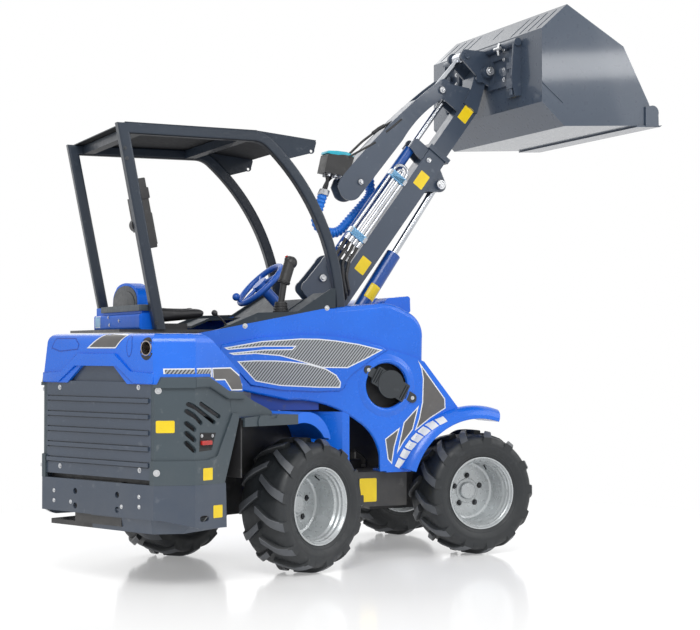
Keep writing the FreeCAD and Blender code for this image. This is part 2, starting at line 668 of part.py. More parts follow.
def outer_boom():
    """Welded box with its pivot boss, the lift lugs under it and the cylinder brackets on top."""
    h, w, t = BOOM_H / 2, BOOM_W / 2, BOOM_WALL
    shape = boom_box(60, OUTER_LEN, -h, h, -w, w)
    collar = boom_box(OUTER_LEN - 26, OUTER_LEN, -h - 12, h + 12, -w - 10, w + 10)
    boss = boom_cyl(0, 0, 45, -w, w).fuse(boom_box(0, 80, -45, 45, -w, w))
    shape = shape.fuse([collar, boss])
    shape = shape.cut(boom_box(130, OUTER_LEN + 1, -h + t, h - t, -w + t, w - t))
    lug = [(LIFT_EYE_ALONG - 80, -h + 1), (LIFT_EYE_ALONG + 66, -h + 1), (LIFT_EYE_ALONG + 34, -LIFT_EYE_DROP - 12),
           (LIFT_EYE_ALONG - 34, -LIFT_EYE_DROP - 12)]

    def lift_lug(y0, y1):
        return boom_prism(lug, y0, y1).fuse(boom_cyl(LIFT_EYE_ALONG, -LIFT_EYE_DROP, 36, y0, y1))

    rear = [(130, h - 1), (420, h - 1), (400, 120), (378, 172, 330, 182), (200, 190), (165, 188, 150, 165)]

    def rear_bracket(y0, y1):
        return boom_prism(rear, y0, y1)

    e = OUTER_LEN
    front = [(e - 100, h - 1), (e - 25, h - 1), (e - 25, 120), (e - 30, 143, e - 56, 148), (e - 87, 148)]

    def front_bracket(y0, y1):
        return boom_prism(front, y0, y1)

    shape = shape.fuse([
        both_sides(lift_lug, 30.0, 14.0), both_sides(rear_bracket, 34.0, 10.0),
        both_sides(front_bracket, 34.0, 10.0),
        both_sides(lambda a, b: boom_cyl(LIFT_EYE_ALONG, -LIFT_EYE_DROP, PIN_R, a, b), 43.0, 9.0),
        boom_cyl(EXTEND_BASE, EXTEND_UP, PIN_R - 4, -52, 52),
    ])
    return shape.cut(boom_cyl(0, 0, PIN_R + PIN_GAP, -200, 200)).removeSplitter()


def inner_boom():
    """Sliding box with the head for the tool pivot, cut back below to let the tool tip."""
    h, w = INNER_H / 2, INNER_W / 2
    e, r = HEAD_LEN, HEAD_RISE
    rear = OUTER_LEN - STROKE_OUT - BOOM_LAP
    void = boom_box(rear - 1, e - 215, -h + 6, h - 6, -w + 6, w - 6)
    shape = boom_box(rear, e - 190, -h, h, -w, w).cut(void)
    head = boom_prism([(e - 195, -h), (e - 100, r - 62), (e - 10, r - 30), (e + 18, r - 24), (e + 30, r - 5),
                       (e + 26, r + 16), (e + 5, r + 30), (e - 50, r + 32), (e - 110, r + 10), (e - 195, h)],
                      -HEAD_HALF, HEAD_HALF)
    return shape.fuse(head).cut(boom_cyl(HEAD_LEN, HEAD_RISE, PIN_R + PIN_GAP, -200, 200)).removeSplitter()


FIN_REAR = OUTER_LEN + STROKE_IN + 12
FIN_IN = 34.0


def tilt_arm():
    """Bent box over the boom that holds the tilt cylinder, with the fins that carry it."""
    e = HEAD_LEN
    outline = [(e - 1002, 290), (e - 985, 232, e - 939, 213), (e - 568, 197), (e - 357, 182, e - 229, 139),
               (e - 182, 150), (e - 160, 184, e - 187, 215), (e - 260, 237), (e - 558, 302, e - 937, 346),
               (e - 977, 335)]

    def cheek(y0, y1):
        return boom_prism(outline, y0, y1)

    cover = [(e - 917, 344), (e - 600, 308, e - 357, 262), (e - 357, 254), (e - 600, 300, e - 917, 336)]
    top, base = INNER_H / 2 - 2, 184
    fin = [(FIN_REAR, top), (e - 112, top), (e - 112, 66), (e - 177, base), (FIN_REAR + 40, base), (FIN_REAR, 150)]

    def fin_plate(y0, y1):
        return boom_prism(fin, y0, y1)

    shape = both_sides(cheek, 38.0, 8.0).fuse([
        both_sides(fin_plate, FIN_IN, 10.0), boom_prism(cover, -38, 38),
        boom_cyl(*TILT_BASE, PIN_R - 3, -54, 54), boom_cyl(e - 217, 177, 22, -50, -46),
        boom_cyl(e - 217, 177, 22, 46, 50), boom_cyl(e - 217, 177, 14, -58, -50), boom_cyl(e - 217, 177, 14, 50, 58),
    ])
    clip = boom_prism([(e - 800, 206), (e - 742, 200), (e - 735, 262), (e - 790, 266)], 46, 92)
    shape = shape.fuse(clip).cut(tube(guard_route(), GUARD_BENDS, GUARD_R + 0.2))
    return shape.cut(inner_boom()).removeSplitter()


def pin_eye(point, r, half):
    return cyl_y(point.x, point.z, r, -half, half)


def cylinder(base, eye_at, barrel_len, barrel_r, rod_r, eye_r, half, pin_r, eye_half):
    """Barrel and rod of a hydraulic cylinder, each with its eye; base and eye_at are vectors."""
    d = eye_at - base
    length = d.Length
    d.normalize()
    barrel = cyl_between(base + d * (barrel_r * 0.5), base + d * barrel_len, barrel_r)
    barrel = barrel.fuse(pin_eye(base, barrel_r * 0.85, half))
    bore = cyl_between(base + d * (barrel_r + 20), base + d * (barrel_len + 1), rod_r + 1)
    barrel = barrel.cut(bore).cut(pin_eye(base, pin_r + PIN_GAP, 100))
    deep = max(barrel_r + 60, 2 * barrel_len - length + 60)
    rod = cyl_between(base + d * deep, eye_at - d * (eye_r * 0.5), rod_r)
    rod = rod.fuse(pin_eye(eye_at, eye_r, eye_half)).cut(pin_eye(eye_at, pin_r, 100))
    return barrel, rod


def lift_cylinder():
    eye_at = on_boom(LIFT_EYE_ALONG, -LIFT_EYE_DROP)
    return cylinder(V(LIFT_BASE[0], 0, LIFT_BASE[1]), eye_at, LIFT_BARREL, LIFT_BARREL_R, LIFT_ROD_R,
                    LIFT_EYE_R, 70, PIN_R, 25)


def tilt_cylinder():
    return cylinder(on_boom(*TILT_BASE), on_boom(*TILT_EYE), TILT_BARREL, TILT_BARREL_R, TILT_ROD_R,
                    TILT_EYE_R, 34, PIN_R - 3, 40)


def extend_cylinder():
    """Cylinder on top of the outer boom that slides the inner boom; its rod goes to the fins."""
    rear = on_boom(EXTEND_BASE, EXTEND_UP)
    front = on_boom(EXTEND_BASE + EXTEND_BARREL, EXTEND_UP)
    barrel = cyl_between(on_boom(EXTEND_BASE + 16, EXTEND_UP), front, EXTEND_BARREL_R)
    barrel = barrel.fuse(pin_eye(rear, 25, 33.7))
    bore_from = on_boom(EXTEND_BASE + 50, EXTEND_UP)
    bore = cyl_between(bore_from, front + BOOM_DIR, EXTEND_ROD_R + 1)
    barrel = barrel.cut(bore).cut(pin_eye(rear, PIN_R - 4, 100))
    rod = cyl_between(on_boom(EXTEND_BASE + 60 + STROKE_IN, EXTEND_UP), on_boom(FIN_REAR + 20, EXTEND_UP),
                      EXTEND_ROD_R)
    rod = rod.fuse(pin_eye(on_boom(FIN_REAR + 30, EXTEND_UP), 24, FIN_IN - 0.3))
    return barrel, rod


PIPE_Y = -46.0
PIPE_R = 8.0
PIPE_UP = [BOOM_H / 2 + 17 + 25 * i for i in range(4)]      # the four pipes above the boom's middle line
PIPE_LOW = 500.0
PIPE_HIGH = OUTER_LEN - 225


def tube(points, bends, radius):
    """Round tube along straight runs joined by tangent arcs; bends holds one arc radius for each corner."""
    edges = []
    start = points[0]
    for before, corner, after, bend in zip(points, points[1:], points[2:], bends):
        back = (before - corner).normalize()
        ahead = (after - corner).normalize()
        half = back.getAngle(ahead) / 2
        reach = bend / math.tan(half)
        centre = corner + (back + ahead).normalize() * (bend / math.sin(half))
        middle = centre + (corner - centre).normalize() * bend
        enter, leave = corner + back * reach, corner + ahead * reach
        edges += [Part.makeLine(start, enter), Part.Arc(enter, middle, leave).toShape()]
        start = leave
    edges.append(Part.makeLine(start, points[-1]))
    path = Part.Wire(edges)
    first = (points[1] - points[0]).normalize()
    ring = Part.Wire(Part.makeCircle(radius, points[0], first))
    return path.makePipeShell([ring], True, False)


def boom_route(points):
    """Points given along the boom, square to it and across it."""
    return [on_boom(along, up, y) for along, up, y in points]


def pipes():
    """Steel pipes stacked above the boom's right edge, joined in pairs by U bends and held in two clamps."""
    h = BOOM_H / 2
    parts = []
    for low, high in ((0, 3), (1, 2)):
        a, b = PIPE_UP[low], PIPE_UP[high]
        r = (b - a) / 2
        ends = [on_boom(PIPE_HIGH, up, PIPE_Y) for up in (a, b)]
        top = on_boom(PIPE_HIGH + r, (a + b) / 2, PIPE_Y)
        path = Part.Wire([
            Part.makeLine(on_boom(PIPE_LOW, a, PIPE_Y), ends[0]), Part.Arc(ends[0], top, ends[1]).toShape(),
            Part.makeLine(ends[1], on_boom(PIPE_LOW, b, PIPE_Y)),
        ])
        ring = Part.Wire(Part.makeCircle(PIPE_R, on_boom(PIPE_LOW, a, PIPE_Y), BOOM_DIR))
        parts.append(path.makePipeShell([ring], True, False))
    for up in PIPE_UP:
        parts.append(cyl_between(on_boom(PIPE_LOW, up, PIPE_Y), on_boom(PIPE_LOW + 30, up, PIPE_Y), PIPE_R + 3.5))
    for s in (PIPE_LOW + 38, OUTER_LEN - 270):
        parts.append(boom_box(s, s + 28, h, h + 106, PIPE_Y - 14, PIPE_Y + 13))
    return parts[0].fuse(parts[1:]).removeSplitter()


def pipe_hoses():
    """Hoses from the pipes' lower ends, over the boom's edge and into its right side."""
    side = -BOOM_W / 2
    parts = []
    for i, up in enumerate(PIPE_UP):
        back = 24 * i
        route = boom_route([(PIPE_LOW, up, PIPE_Y), (455, up, side - 10), (415 - back, up, side - 12),
                            (345 - back, 42, side - 20), (300 - back, -10, side - 20), (285 - back, -28, side - 0.2)])
        parts.append(tube(route, (60, 60, 60, 14), PIPE_R))
    carriers = [pipes(), outer_boom()]
    return Part.makeCompound([largest(part.cut(carriers)) for part in parts])


GUARD_R = 26.0
GUARD_BENDS = (66, 88, 60, 30)


def guard_route():
    e = HEAD_LEN
    return boom_route([(e - 1020, 362, 14), (e - 1189, 292, 48), (e - 1137, 158, 80), (e - 857, 128, 80),
                       (e - 790, 190, 80), (e - 760, 235, 62)])


def hose_guard():
    """Spiral guard round the coupler's hoses: it hangs in a loop and ends at its clip on the tilt arm."""
    return tube(guard_route(), GUARD_BENDS, GUARD_R)


def coupler_hoses():
    """Hoses from the coupler block into the spiral guard, and the thin one over the tilt arm."""
    e = HEAD_LEN
    mouth, beyond = guard_route()[:2]
    inward = (mouth - beyond).normalize()
    across = inward.cross(V(0, 1, 0)).cross(inward).normalize()
    parts = []
    for along, up, y, shift in ((-952, 414, -16, 13), (-933, 386, 14, 0), (-914, 358, 40, -13)):
        end = mouth - across * shift + inward * 0.3
        start = on_boom(e + along, up, y)
        corner = end + inward * 45
        parts.append(tube([start, corner, end], (90,), 8.5))
    thin = boom_route([(e - 830, 380, -20), (e - 708, 358, -20), (e - 597, 325, -20), (e - 520, 290, -20)])
    parts.append(tube(thin, (300, 300), 6).cut(tilt_arm()))
    return Part.makeCompound([largest(part.cut(coupler_block())) for part in parts])


def coupler_block():
    """Multi-way hose coupler on top of the tilt arm."""
    e = HEAD_LEN
    block = boom_prism([(e - 905, 322), (e - 808, 350), (e - 826, 392, e - 852, 424), (e - 882, 470), (e - 966, 433)],
                       -46, 46)
    return largest(block.cut(tilt_arm())).removeSplitter()


# ---------------------------------------------------------------- tool carrier and bucket
CARRIER_T = 14.0
CARRIER_HALF = 370.0
GUARD_SLOTS = (250.0, 335.0, 420.0, 505.0)


def about_tool(points):
    """Outline drawn from the tool pivot, in the machine's X and Z."""
    pivot = on_boom(HEAD_LEN, HEAD_RISE)
    centre = (pivot.x, pivot.z)
    return [tuple(v + centre[i % 2] for i, v in enumerate(p)) for p in points]


def tool_box(x0, x1, y0, y1, z0, z1):
    """Box placed from the tool pivot."""
    pivot = on_boom(HEAD_LEN, HEAD_RISE)
    return box(pivot.x + x0, pivot.x + x1, y0, y1, pivot.z + z0, pivot.z + z1)


def tool_carrier():
    """Plate that takes the tools: windows, hooked top bar, locking pins, and the ears of both pivots."""
    pivot = on_boom(HEAD_LEN, HEAD_RISE)
    tilt = on_boom(*TILT_EYE)
    x1 = BUCKET_BACK - 0.3
    x0 = x1 - CARRIER_T
    half, low, high = CARRIER_HALF, -157.0, 108.0
    plate = tool_box(x0, x1, -half, half, low, high)
    gap = tool_box(x0 - 5, x1 + 5, -61, 61, low, high - 20)
    foot = tool_box(x0 - 5, x1 + 5, -half + 120, half - 120, low, low + 65)
    cuts = [gap, foot]
    parts = []
    for side in (-1, 1):
        y0, y1 = sorted((side * 110, side * 250))
        cuts.append(tool_box(x0 - 5, x1 + 5, y0, y1, -60, 50))
        y0, y1 = sorted((side * (half - 12), side * half))
        parts.append(prism_xz(about_tool([(x1 - 2, low), (x1 - 2, high + 8), (x1 - 40, high + 8), (x1 - 46, 20),
                                          (x1 - 52, -60), (x1 - 30, low)]), y0, y1))
        pin_at = V(pivot.x + x0 - 16, side * (half - 40), pivot.z - 150)
        parts.append(Part.makeCylinder(12, 190, pin_at))
        y0, y1 = sorted((side * (half - 66), side * (half - 11)))
        parts += [tool_box(x0 - 30, x0 + 1, y0, y1, -120, -70), tool_box(x0 - 30, x0 + 1, y0, y1, -20, 12)]
    top_bar = Part.makeCylinder(20, 2 * half + 20, V(pivot.x + x1 - 22, -half - 10, pivot.z + high), V(0, 1, 0))
    dx, dz = tilt.x - pivot.x, tilt.z - pivot.z
    ear = about_tool([(x1 - 8, -70), (x1 - 8, high), (dx + 10, dz + 32), (dx - 24, dz + 26, dx - 28, dz - 18),
                      (-50, -20), (-48, -46, -20, -48)])

    def ear_plate(y0, y1):
        return prism_xz(ear, y0, y1)

    shape = plate.cut(cuts).fuse([top_bar, both_sides(ear_plate, 62.0, 14.0)] + parts)
    tilt_boss = both_sides(lambda a, b: cyl_y(tilt.x, tilt.z, TILT_EYE_R, a, b), 45.0, 18.0)
    tilt_stub = both_sides(lambda a, b: cyl_y(tilt.x, tilt.z, PIN_R - 3, a, b), 75.0, 9.0)
    pin_boss = both_sides(lambda a, b: cyl_y(pivot.x, pivot.z, 30, a, b), 75.0, 35.0)
    return shape.fuse([tilt_boss, tilt_stub, pin_boss, cyl_y(pivot.x, pivot.z, PIN_R, -122, 122)]).removeSplitter()


def guard_slot(y, x0, x1, width):
    """Upright cutter for a slot in the sloping guard, from x0 to x1 ahead of the tool pivot."""
    pivot = on_boom(HEAD_LEN, HEAD_RISE)
    r = width / 2
    ends = [Part.makeCylinder(r, 160, V(pivot.x + x, y, pivot.z + 130)) for x in (x0, x1)]
    return tool_box(x0, x1, y - r, y + r, 130, 290).fuse(ends)


def bucket():
    """Welded bucket: side plates, wrapper sheet and the slotted guard on top."""
    back, t = BUCKET_BACK, BUCKET_T
    outline = about_tool([(back, 145), (178, 272), (505, 89), (656, -187), (690, -294), (163, -326), (back, -214)])
    parts = []
    for side in (-1, 1):
        y0, y1 = sorted((side * BUCKET_HALF, side * (BUCKET_HALF - t)))
        parts.append(prism_xz(outline, y0, y1))
    wrapper = about_tool([(178, 272), (back, 145), (back, -214), (163, -326), (690, -294), (690, -286),
                          (166, -318), (back + t, -210), (back + t, 142), (182, 265)])
    sheet = prism_xz(wrapper, -BUCKET_HALF + t, BUCKET_HALF - t)
    slots = [guard_slot(side * y, 52, 155, 15) for y in GUARD_SLOTS for side in (-1, 1)]
    sheet = sheet.cut(slots + [guard_slot(0.0, 90, 146, 12)])
    return parts[0].fuse(parts[1:] + [sheet]).removeSplitter()


def cutting_edge():
    """Hard edge under the bucket's lip, with the wear ears that stand up beside its side plates."""
    blade = about_tool([(578, -309), (716, -301), (729, -292.3), (578, -301.1)])
    edge = prism_xz(blade, -BUCKET_HALF - 8, BUCKET_HALF + 8)
    ear = about_tool([(630, -303), (708, -298), (706, -240), (697, -205, 668, -196), (630, -204)])
    parts = []
    for side in (-1, 1):
        y0, y1 = sorted((side * (BUCKET_HALF + 0.3), side * (BUCKET_HALF + 10)))
        parts.append(prism_xz(ear, y0, y1))
    return edge.fuse(parts).removeSplitter()


# ---------------------------------------------------------------- rear chassis
def rear_frame():
    """Rails with the yoke that holds the king pin."""
    parts = []
    for z0, z1 in (YOKE_LOW, YOKE_HIGH):
        plate = box(-420, 0, -YOKE_HALF + 20, YOKE_HALF - 20, z0, z1)
        parts.append(plate.fuse(Part.makeCylinder(YOKE_R, z1 - z0, V(0, 0, z0))))
    parts.append(box(-420, -150, -YOKE_HALF, YOKE_HALF, YOKE_LOW[0], YOKE_HIGH[1]))
    parts.append(box(TAIL_X + 10, -400, -FRAME_HALF, FRAME_HALF, 246, 430))
    parts.append(box(TAIL_X + 25, BUMPER_FRONT + 8, -330, 330, 226, 247))
    parts.append(Part.makeCylinder(KING_PIN_R, YOKE_HIGH[1] - YOKE_LOW[0] + 16, V(0, 0, YOKE_LOW[0] - 8)))
    shape = parts[0].fuse(parts[1:]).removeSplitter()
    return shape.cut(cyl_y(REAR_AXLE_X, TYRE_R, AXLE_R, -200, 200))


def engine_block():
    return box(-1480, -1000, -230, 230, 430, 800)


CORNER_SLANT = (FOLD_X - TAIL_X) / (SIDE_HALF - TAIL_HALF)


def tail_plan(tail, half, side, x1):
    """Plan of the rear body: flat tail, folded corners that keep one slant, and straight sides."""
    fold = tail + (side - half) * CORNER_SLANT
    return [(tail, -half), (fold, -side), (x1, -side), (x1, side), (fold, side), (tail, half)]


def grown_plan(grow, x1):
    """The rear body's plan with every wall moved outward by grow."""
    return tail_plan(TAIL_X - grow, TAIL_HALF + 0.457 * grow, SIDE_HALF + grow, x1)


def raised(plan, z):
    return Part.makePolygon([V(x, y, z) for x, y in plan + plan[:1]])


def hood():
    """Rear hood: a shell that draws in towards the top, with the arch over the grille cut out."""
    t, x1 = PANEL_T, HOOD_FRONT
    upper = tail_plan(TAIL_X + 10, TAIL_HALF - 25, SIDE_HALF - 18, x1)
    block = Part.makeLoft([raised(grown_plan(0, x1), HOOD_LOW), raised(upper, HOOD_TOP)], True, True)
    top = [e for e in block.Edges if e.BoundBox.ZMin > HOOD_TOP - 1 and e.BoundBox.XMin < x1 - 1]
    block = block.makeFillet(42, top)
    inner = grown_plan(-t, x1 + 1)
    inner_top = tail_plan(TAIL_X + 10 + t, TAIL_HALF - 31, SIDE_HALF - 18 - t, x1 + 1)
    void = Part.makeLoft([raised(inner, HOOD_LOW - 1), raised(inner_top, HOOD_TOP - 50)], True, True)
    side_low = prism_xz([(TAIL_X - 5, HOOD_LOW - 2), (HOOD_FRONT + 20, HOOD_LOW - 2), (HOOD_FRONT + 20, 803),
                         (-1150, 803), (-1250, 808), (-1364, HOOD_SIDE_LOW), (-1545, HOOD_SIDE_LOW),
                         (-1558, HOOD_LOW), (TAIL_X - 5, HOOD_LOW)], -600, 600)
    slope = prism_xz([(-1369, 1080), (-1369, HOOD_TOP + 3), (-1329, 1018), (-1231, 931), (-1184, 885),
                      (-1167, 803), (HOOD_FRONT + 20, 803), (HOOD_FRONT + 20, 1080)], -600, 600)
    notch = prism_yz([(-196, HOOD_LOW - 1), (-105, 911), (105, 911), (196, HOOD_LOW - 1)], TAIL_X - 5,
                     TAIL_X + 60)
    skirt = prism_xz([(-1313, HOOD_LOW + 3), (-1250, 808), (-1167, 803), (-1167, HOOD_LOW + 3)], -SIDE_HALF,
                     -SIDE_HALF + t)
    shape = block.cut(void).cut(notch).cut(side_low).cut(slope).fuse([skirt, mirrored(skirt)])
    shape = shape.cut(Part.makeCylinder(EXHAUST_R + 0.05, 170, V(TAIL_X - 5, EXHAUST_Y, EXHAUST_Z), V(1, 0, 0)))
    return shape.removeSplitter()


GRILLE_HALF = 338.0
GRILLE_LOW = 447.0
RIBS = 5
RIB_TOP = 779.0
RIB_PITCH = 65.6
RIB_H = 17.0


def grille():
    """Ribbed radiator plate at the tail, with the plain arch plate set back above it."""
    low = HOOD_LOW
    x0, x1 = TAIL_X + 5, TAIL_X + 20
    half = GRILLE_HALF
    plate = prism_yz([(-half, GRILLE_LOW), (half, GRILLE_LOW), (half, low + 8), (-half, low + 8)], x0, x1)
    arch = prism_yz([(-200, low), (200, low), (194, low + 4), (108, 914), (-108, 914), (-194, low + 4)],
                    x0 + 14, x1 + 6)
    ribs = []
    for i in range(RIBS):
        z = RIB_TOP - i * RIB_PITCH
        ribs.append(box(x0 - 7, x0 + 1, -half + 12, half - 6, z - RIB_H, z))
    shape = plate.fuse(ribs)
    grooves = []
    for i in range(RIBS):
        z = RIB_TOP - i * RIB_PITCH
        grooves += [box(x0 - 1, x0 + 5, -half + 12, half - 6, z, z + 4),
                    box(x0 - 1, x0 + 5, -half + 12, half - 6, z - RIB_H - 4, z - RIB_H)]
    return shape.cut(grooves).fuse(arch).cut(hood()).removeSplitter()


COVER_FRONT = -1184.0
COVER_SLOTS = [((-1404, 758), (-1302, 703)), ((-1456, 757), (-1330, 680)), ((-1462, 729), (-1404, 680)),
               ((-1463, 680), (-1438, 654)), ((-1463, 640), (-1438, 611)), ((-1463, 600), (-1438, 568))]


def side_band(points, depth):
    """Plate on the right side wall's face, drawn in X and Z, standing out by depth."""
    return prism_xz(points, -SIDE_HALF - depth, -SIDE_HALF + 12)


def side_cover():
    """Side cover on the right: slotted wall, raised frame below and in front, rolled edge on top."""
    t = PANEL_T
    low, high, split = GRILLE_LOW - 19, HOOD_SIDE_LOW, 527.0

    def wall(grow, z0, z1):
        shell = prism_xy(grown_plan(grow, COVER_FRONT), z0, z1)
        shell = shell.cut(prism_xy(grown_plan(grow - t, COVER_FRONT + 1), z0 - 1, z1 + 1))
        return shell.common(box(TAIL_X - 40, COVER_FRONT + 10, -600, -GRILLE_HALF - 1, z0, z1))

    shape = wall(-5, split, high).fuse(wall(3, low, split))
    front = side_band([(COVER_FRONT - 2, 713), (-1229, 714), (-1317, 540), (-1371, split), (-1371, low),
                       (-1268, low)], 3)
    roll = [(FOLD_X - 2, HOOD_SIDE_LOW), (-1364, HOOD_SIDE_LOW), (-1250, 808), (-1167, 803), (-1167, 769),
            (-1255, 773), (-1359, 824), (FOLD_X - 2, 824)]
    rolled = prism_xz(roll, -SIDE_HALF - 9, -SIDE_HALF + 12)
    rolled = rolled.makeFillet(8, [e for e in rolled.Edges if e.BoundBox.YMax < -SIDE_HALF - 8.9
                                   and e.BoundBox.XMax > FOLD_X and e.BoundBox.XLength > 5])
    inside = [(FOLD_X - 2, -SIDE_HALF + 12), (TAIL_X + 14, -TAIL_HALF + 14)]
    corner = prism_xy(grown_plan(7, COVER_FRONT)[:2] + inside, 824, HOOD_SIDE_LOW)
    wing = prism_xz([(-1240, 790), (-1167, 797), (-1098, 761), (-1017, 729), (-989, 714), (-989, 698),
                     (COVER_FRONT - 2, 698), (-1229, 704)], -SIDE_HALF + 4, -SIDE_HALF + 4 + t)
    shape = shape.fuse([front, rolled, corner, wing])
    sweep = prism_xz([(-1172, 803), (-1172, 713), (COVER_FRONT - 2, 698), (-1276, low - 2), (-1100, low - 2),
                      (-1100, 690), (-1172, 697)], -600, -300)
    shape = shape.cut(sweep.common(box(-1300, -1100, -600, -300, 400, 698)))
    slots = [slot_y(a, b, 19, -600, -SIDE_HALF + 40) for a, b in COVER_SLOTS]
    latch = prism_xz([(-1409, 638), (-1323, 635), (-1345, 569), (-1414, 564)], -600, -SIDE_HALF + 8)
    above = prism_xy(grown_plan(30, COVER_FRONT + 40), HOOD_LOW, HOOD_SIDE_LOW + 2)
    above = above.common(prism_xz([(TAIL_X - 60, HOOD_LOW), (-1558, HOOD_LOW), (-1545, HOOD_SIDE_LOW),
                                   (-1545, 900), (TAIL_X - 60, 900)], -600, -300))
    return shape.cut(slots + [latch, above, hood()]).removeSplitter()


BUMPER_OUT = 2.0            # bumper's rear face behind the tail plane
BUMPER_T = 12.0
BUMPER_FRONT = -1258.0
BUMPER_HOLE_R = 13.0
BUMPER_HOLES = [(136.0, 378.0), (136.0, 316.0), (-136.0, 378.0), (-136.0, 316.0)]


def bumper():
    """Bumper plate round the tail, lower at the sides than across the tail, with its bolt holes."""
    t = BUMPER_T
    z0, z1 = 240.0, GRILLE_LOW - 19.3
    shape = prism_xy(grown_plan(BUMPER_OUT, BUMPER_FRONT), z0, z1)
    shape = shape.cut(prism_xy(grown_plan(BUMPER_OUT - t, BUMPER_FRONT + 1), z0 - 1, z1 + 1))
    under = prism_xz([(TAIL_X - 20, z0 - 5), (TAIL_X - 20, 288), (TAIL_X + 20, 286), (-1413, 248),
                      (BUMPER_FRONT + 6, 243), (BUMPER_FRONT + 6, z0 - 5)], -600, 600)
    ahead = BUMPER_FRONT + 20
    front = prism_xz([(-1268, z1 + 5), (-1262, 236), (ahead, 236), (ahead, z1 + 5)], -600, 600)
    holes = [Part.makeCylinder(BUMPER_HOLE_R, 60, V(TAIL_X - 20, y, z), V(1, 0, 0)) for y, z in BUMPER_HOLES]
    oval = slot_y((-1402, 289), (-1376, 289), 24, -600, -400)
    return shape.cut(holes + [under, front, oval, mirrored(oval)]).removeSplitter()


FENDER_TOP = 697.0
FENDER_EDGE = 42.0
FENDER_OUT = 482.0


def rear_fender():
    """Rear fender on the right: flat over the tyre, bent down in front, with a turned-down outer edge."""
    top = FENDER_TOP
    low = top - FENDER_EDGE
    y_out = -FENDER_OUT
    curve = [(-1168, top - 4), (-1090, top), (-840, top), (-694, 676, -630, 582)]
    under = [(-640, 578), (-703, 667, -842, top - 10), (-1168, top - 14)]
    sheet = prism_xz(curve + under, y_out, -230)
    edge_low = [(-672, 589), (-732, 641, -846, low), (-1168, low)]
    edge = prism_xz(curve + edge_low, y_out, y_out + 10)
    pad = prism_xz([(-1088, low), (-1086, top - 8, -1076, top + 3), (-1026, top + 3), (-1017, top - 12),
                    (-984, top - 12),
                    (-970, top + 3), (-862, top + 1), (-862, low)], y_out - 5, y_out + 2)
    return sheet.fuse([edge, pad]).cut(side_cover()).removeSplitter()


def exhaust():
    """Tail pipe end, in its opening in the hood."""
    x0 = TAIL_X + 2
    outer = Part.makeCylinder(EXHAUST_R, 140, V(x0, EXHAUST_Y, EXHAUST_Z), V(1, 0, 0))
    bore = Part.makeCylinder(EXHAUST_R - 4, 110, V(x0 - 1, EXHAUST_Y, EXHAUST_Z), V(1, 0, 0))
    return outer.cut(bore)


# ---------------------------------------------------------------- assembly
def pair(name, shape, turn=False):
    for hand, part in (("right", shape), ("left", mirrored(shape))):
        nodes[f"{name}_{hand}"] = swung(part) if turn else part


def build():
    wheels()
    nodes["front_axle"] = axle(FRONT_AXLE_X)
    nodes["front_frame"] = front_frame()
    pair("side_panel", side_panel())
    pair("vent_cover", vent_cover())
    pair("shoulder", shoulder().cut(side_panel()))
    lamp = work_lamp()
    nodes["work_lamps"] = Part.makeCompound([lamp, mirrored(lamp)])
    nodes["platform"] = platform()
    nodes["console"] = console()
    nodes["steering_wheel"] = steering_wheel()
    nodes["joystick"] = joystick()
    nodes["belt_reel"] = belt_reel()
    seat()
    nodes["rear_box"] = rear_box()
    nodes["rollover_frame"] = rops()
    nodes["canopy"] = canopy()

    nodes["outer_boom"] = outer_boom()
    nodes["boom_pipes"] = pipes()
    nodes["inner_boom"] = inner_boom()
    nodes["tilt_arm"] = tilt_arm()
    nodes["coupler_block"] = coupler_block()
    nodes["coupler_hoses"] = coupler_hoses()
    nodes["hose_guard"] = hose_guard()
    nodes["pipe_hoses"] = pipe_hoses()
    nodes["lift_barrel"], nodes["lift_rod"] = lift_cylinder()
    nodes["tilt_barrel"], nodes["tilt_rod"] = tilt_cylinder()
    nodes["extend_barrel"], nodes["extend_rod"] = extend_cylinder()
    nodes["tool_carrier"] = tool_carrier()
    nodes["bucket"] = bucket()
    nodes["cutting_edge"] = cutting_edge()

    nodes["rear_axle"] = swung(axle(REAR_AXLE_X))
    nodes["rear_frame"] = swung(rear_frame())
    nodes["engine_block"] = swung(engine_block())
    nodes["hood"] = swung(hood())
    nodes["radiator_grille"] = swung(grille())
    pair("side_cover", side_cover(), True)
    nodes["bumper"] = swung(bumper())
    pair("rear_fender", rear_fender(), True)
    nodes["exhaust_pipe"] = swung(exhaust())


build()
whole = FreeCAD.BoundBox()
for item in nodes.values():
    whole.add(item.optimalBoundingBox(False))
shift = V(-whole.Center.x, -whole.Center.y, -whole.ZMin)
os.makedirs("parts", exist_ok=True)
for node_name, item in nodes.items():
    item.translate(shift)
    item.exportStep(f"parts/{node_name}.step")
print(len(nodes), "nodes; origin shift", [round(c, 3) for c in shift], "size",
      [round(c, 1) for c in (whole.XLength, whole.YLength, whole.ZLength)])
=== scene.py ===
"""Looks of the compact wheel loader, laid over its CAD frame.

Sizes are in millimetres about the steering pivot on the ground: front() places a point of the front
chassis, rear() one of the rear chassis drawn straight, and boom() one in the boom's plane.
"""
import json
import math

import bmesh
import bpy
from mathutils import Matrix, Vector
from mathutils.bvhtree import BVHTree


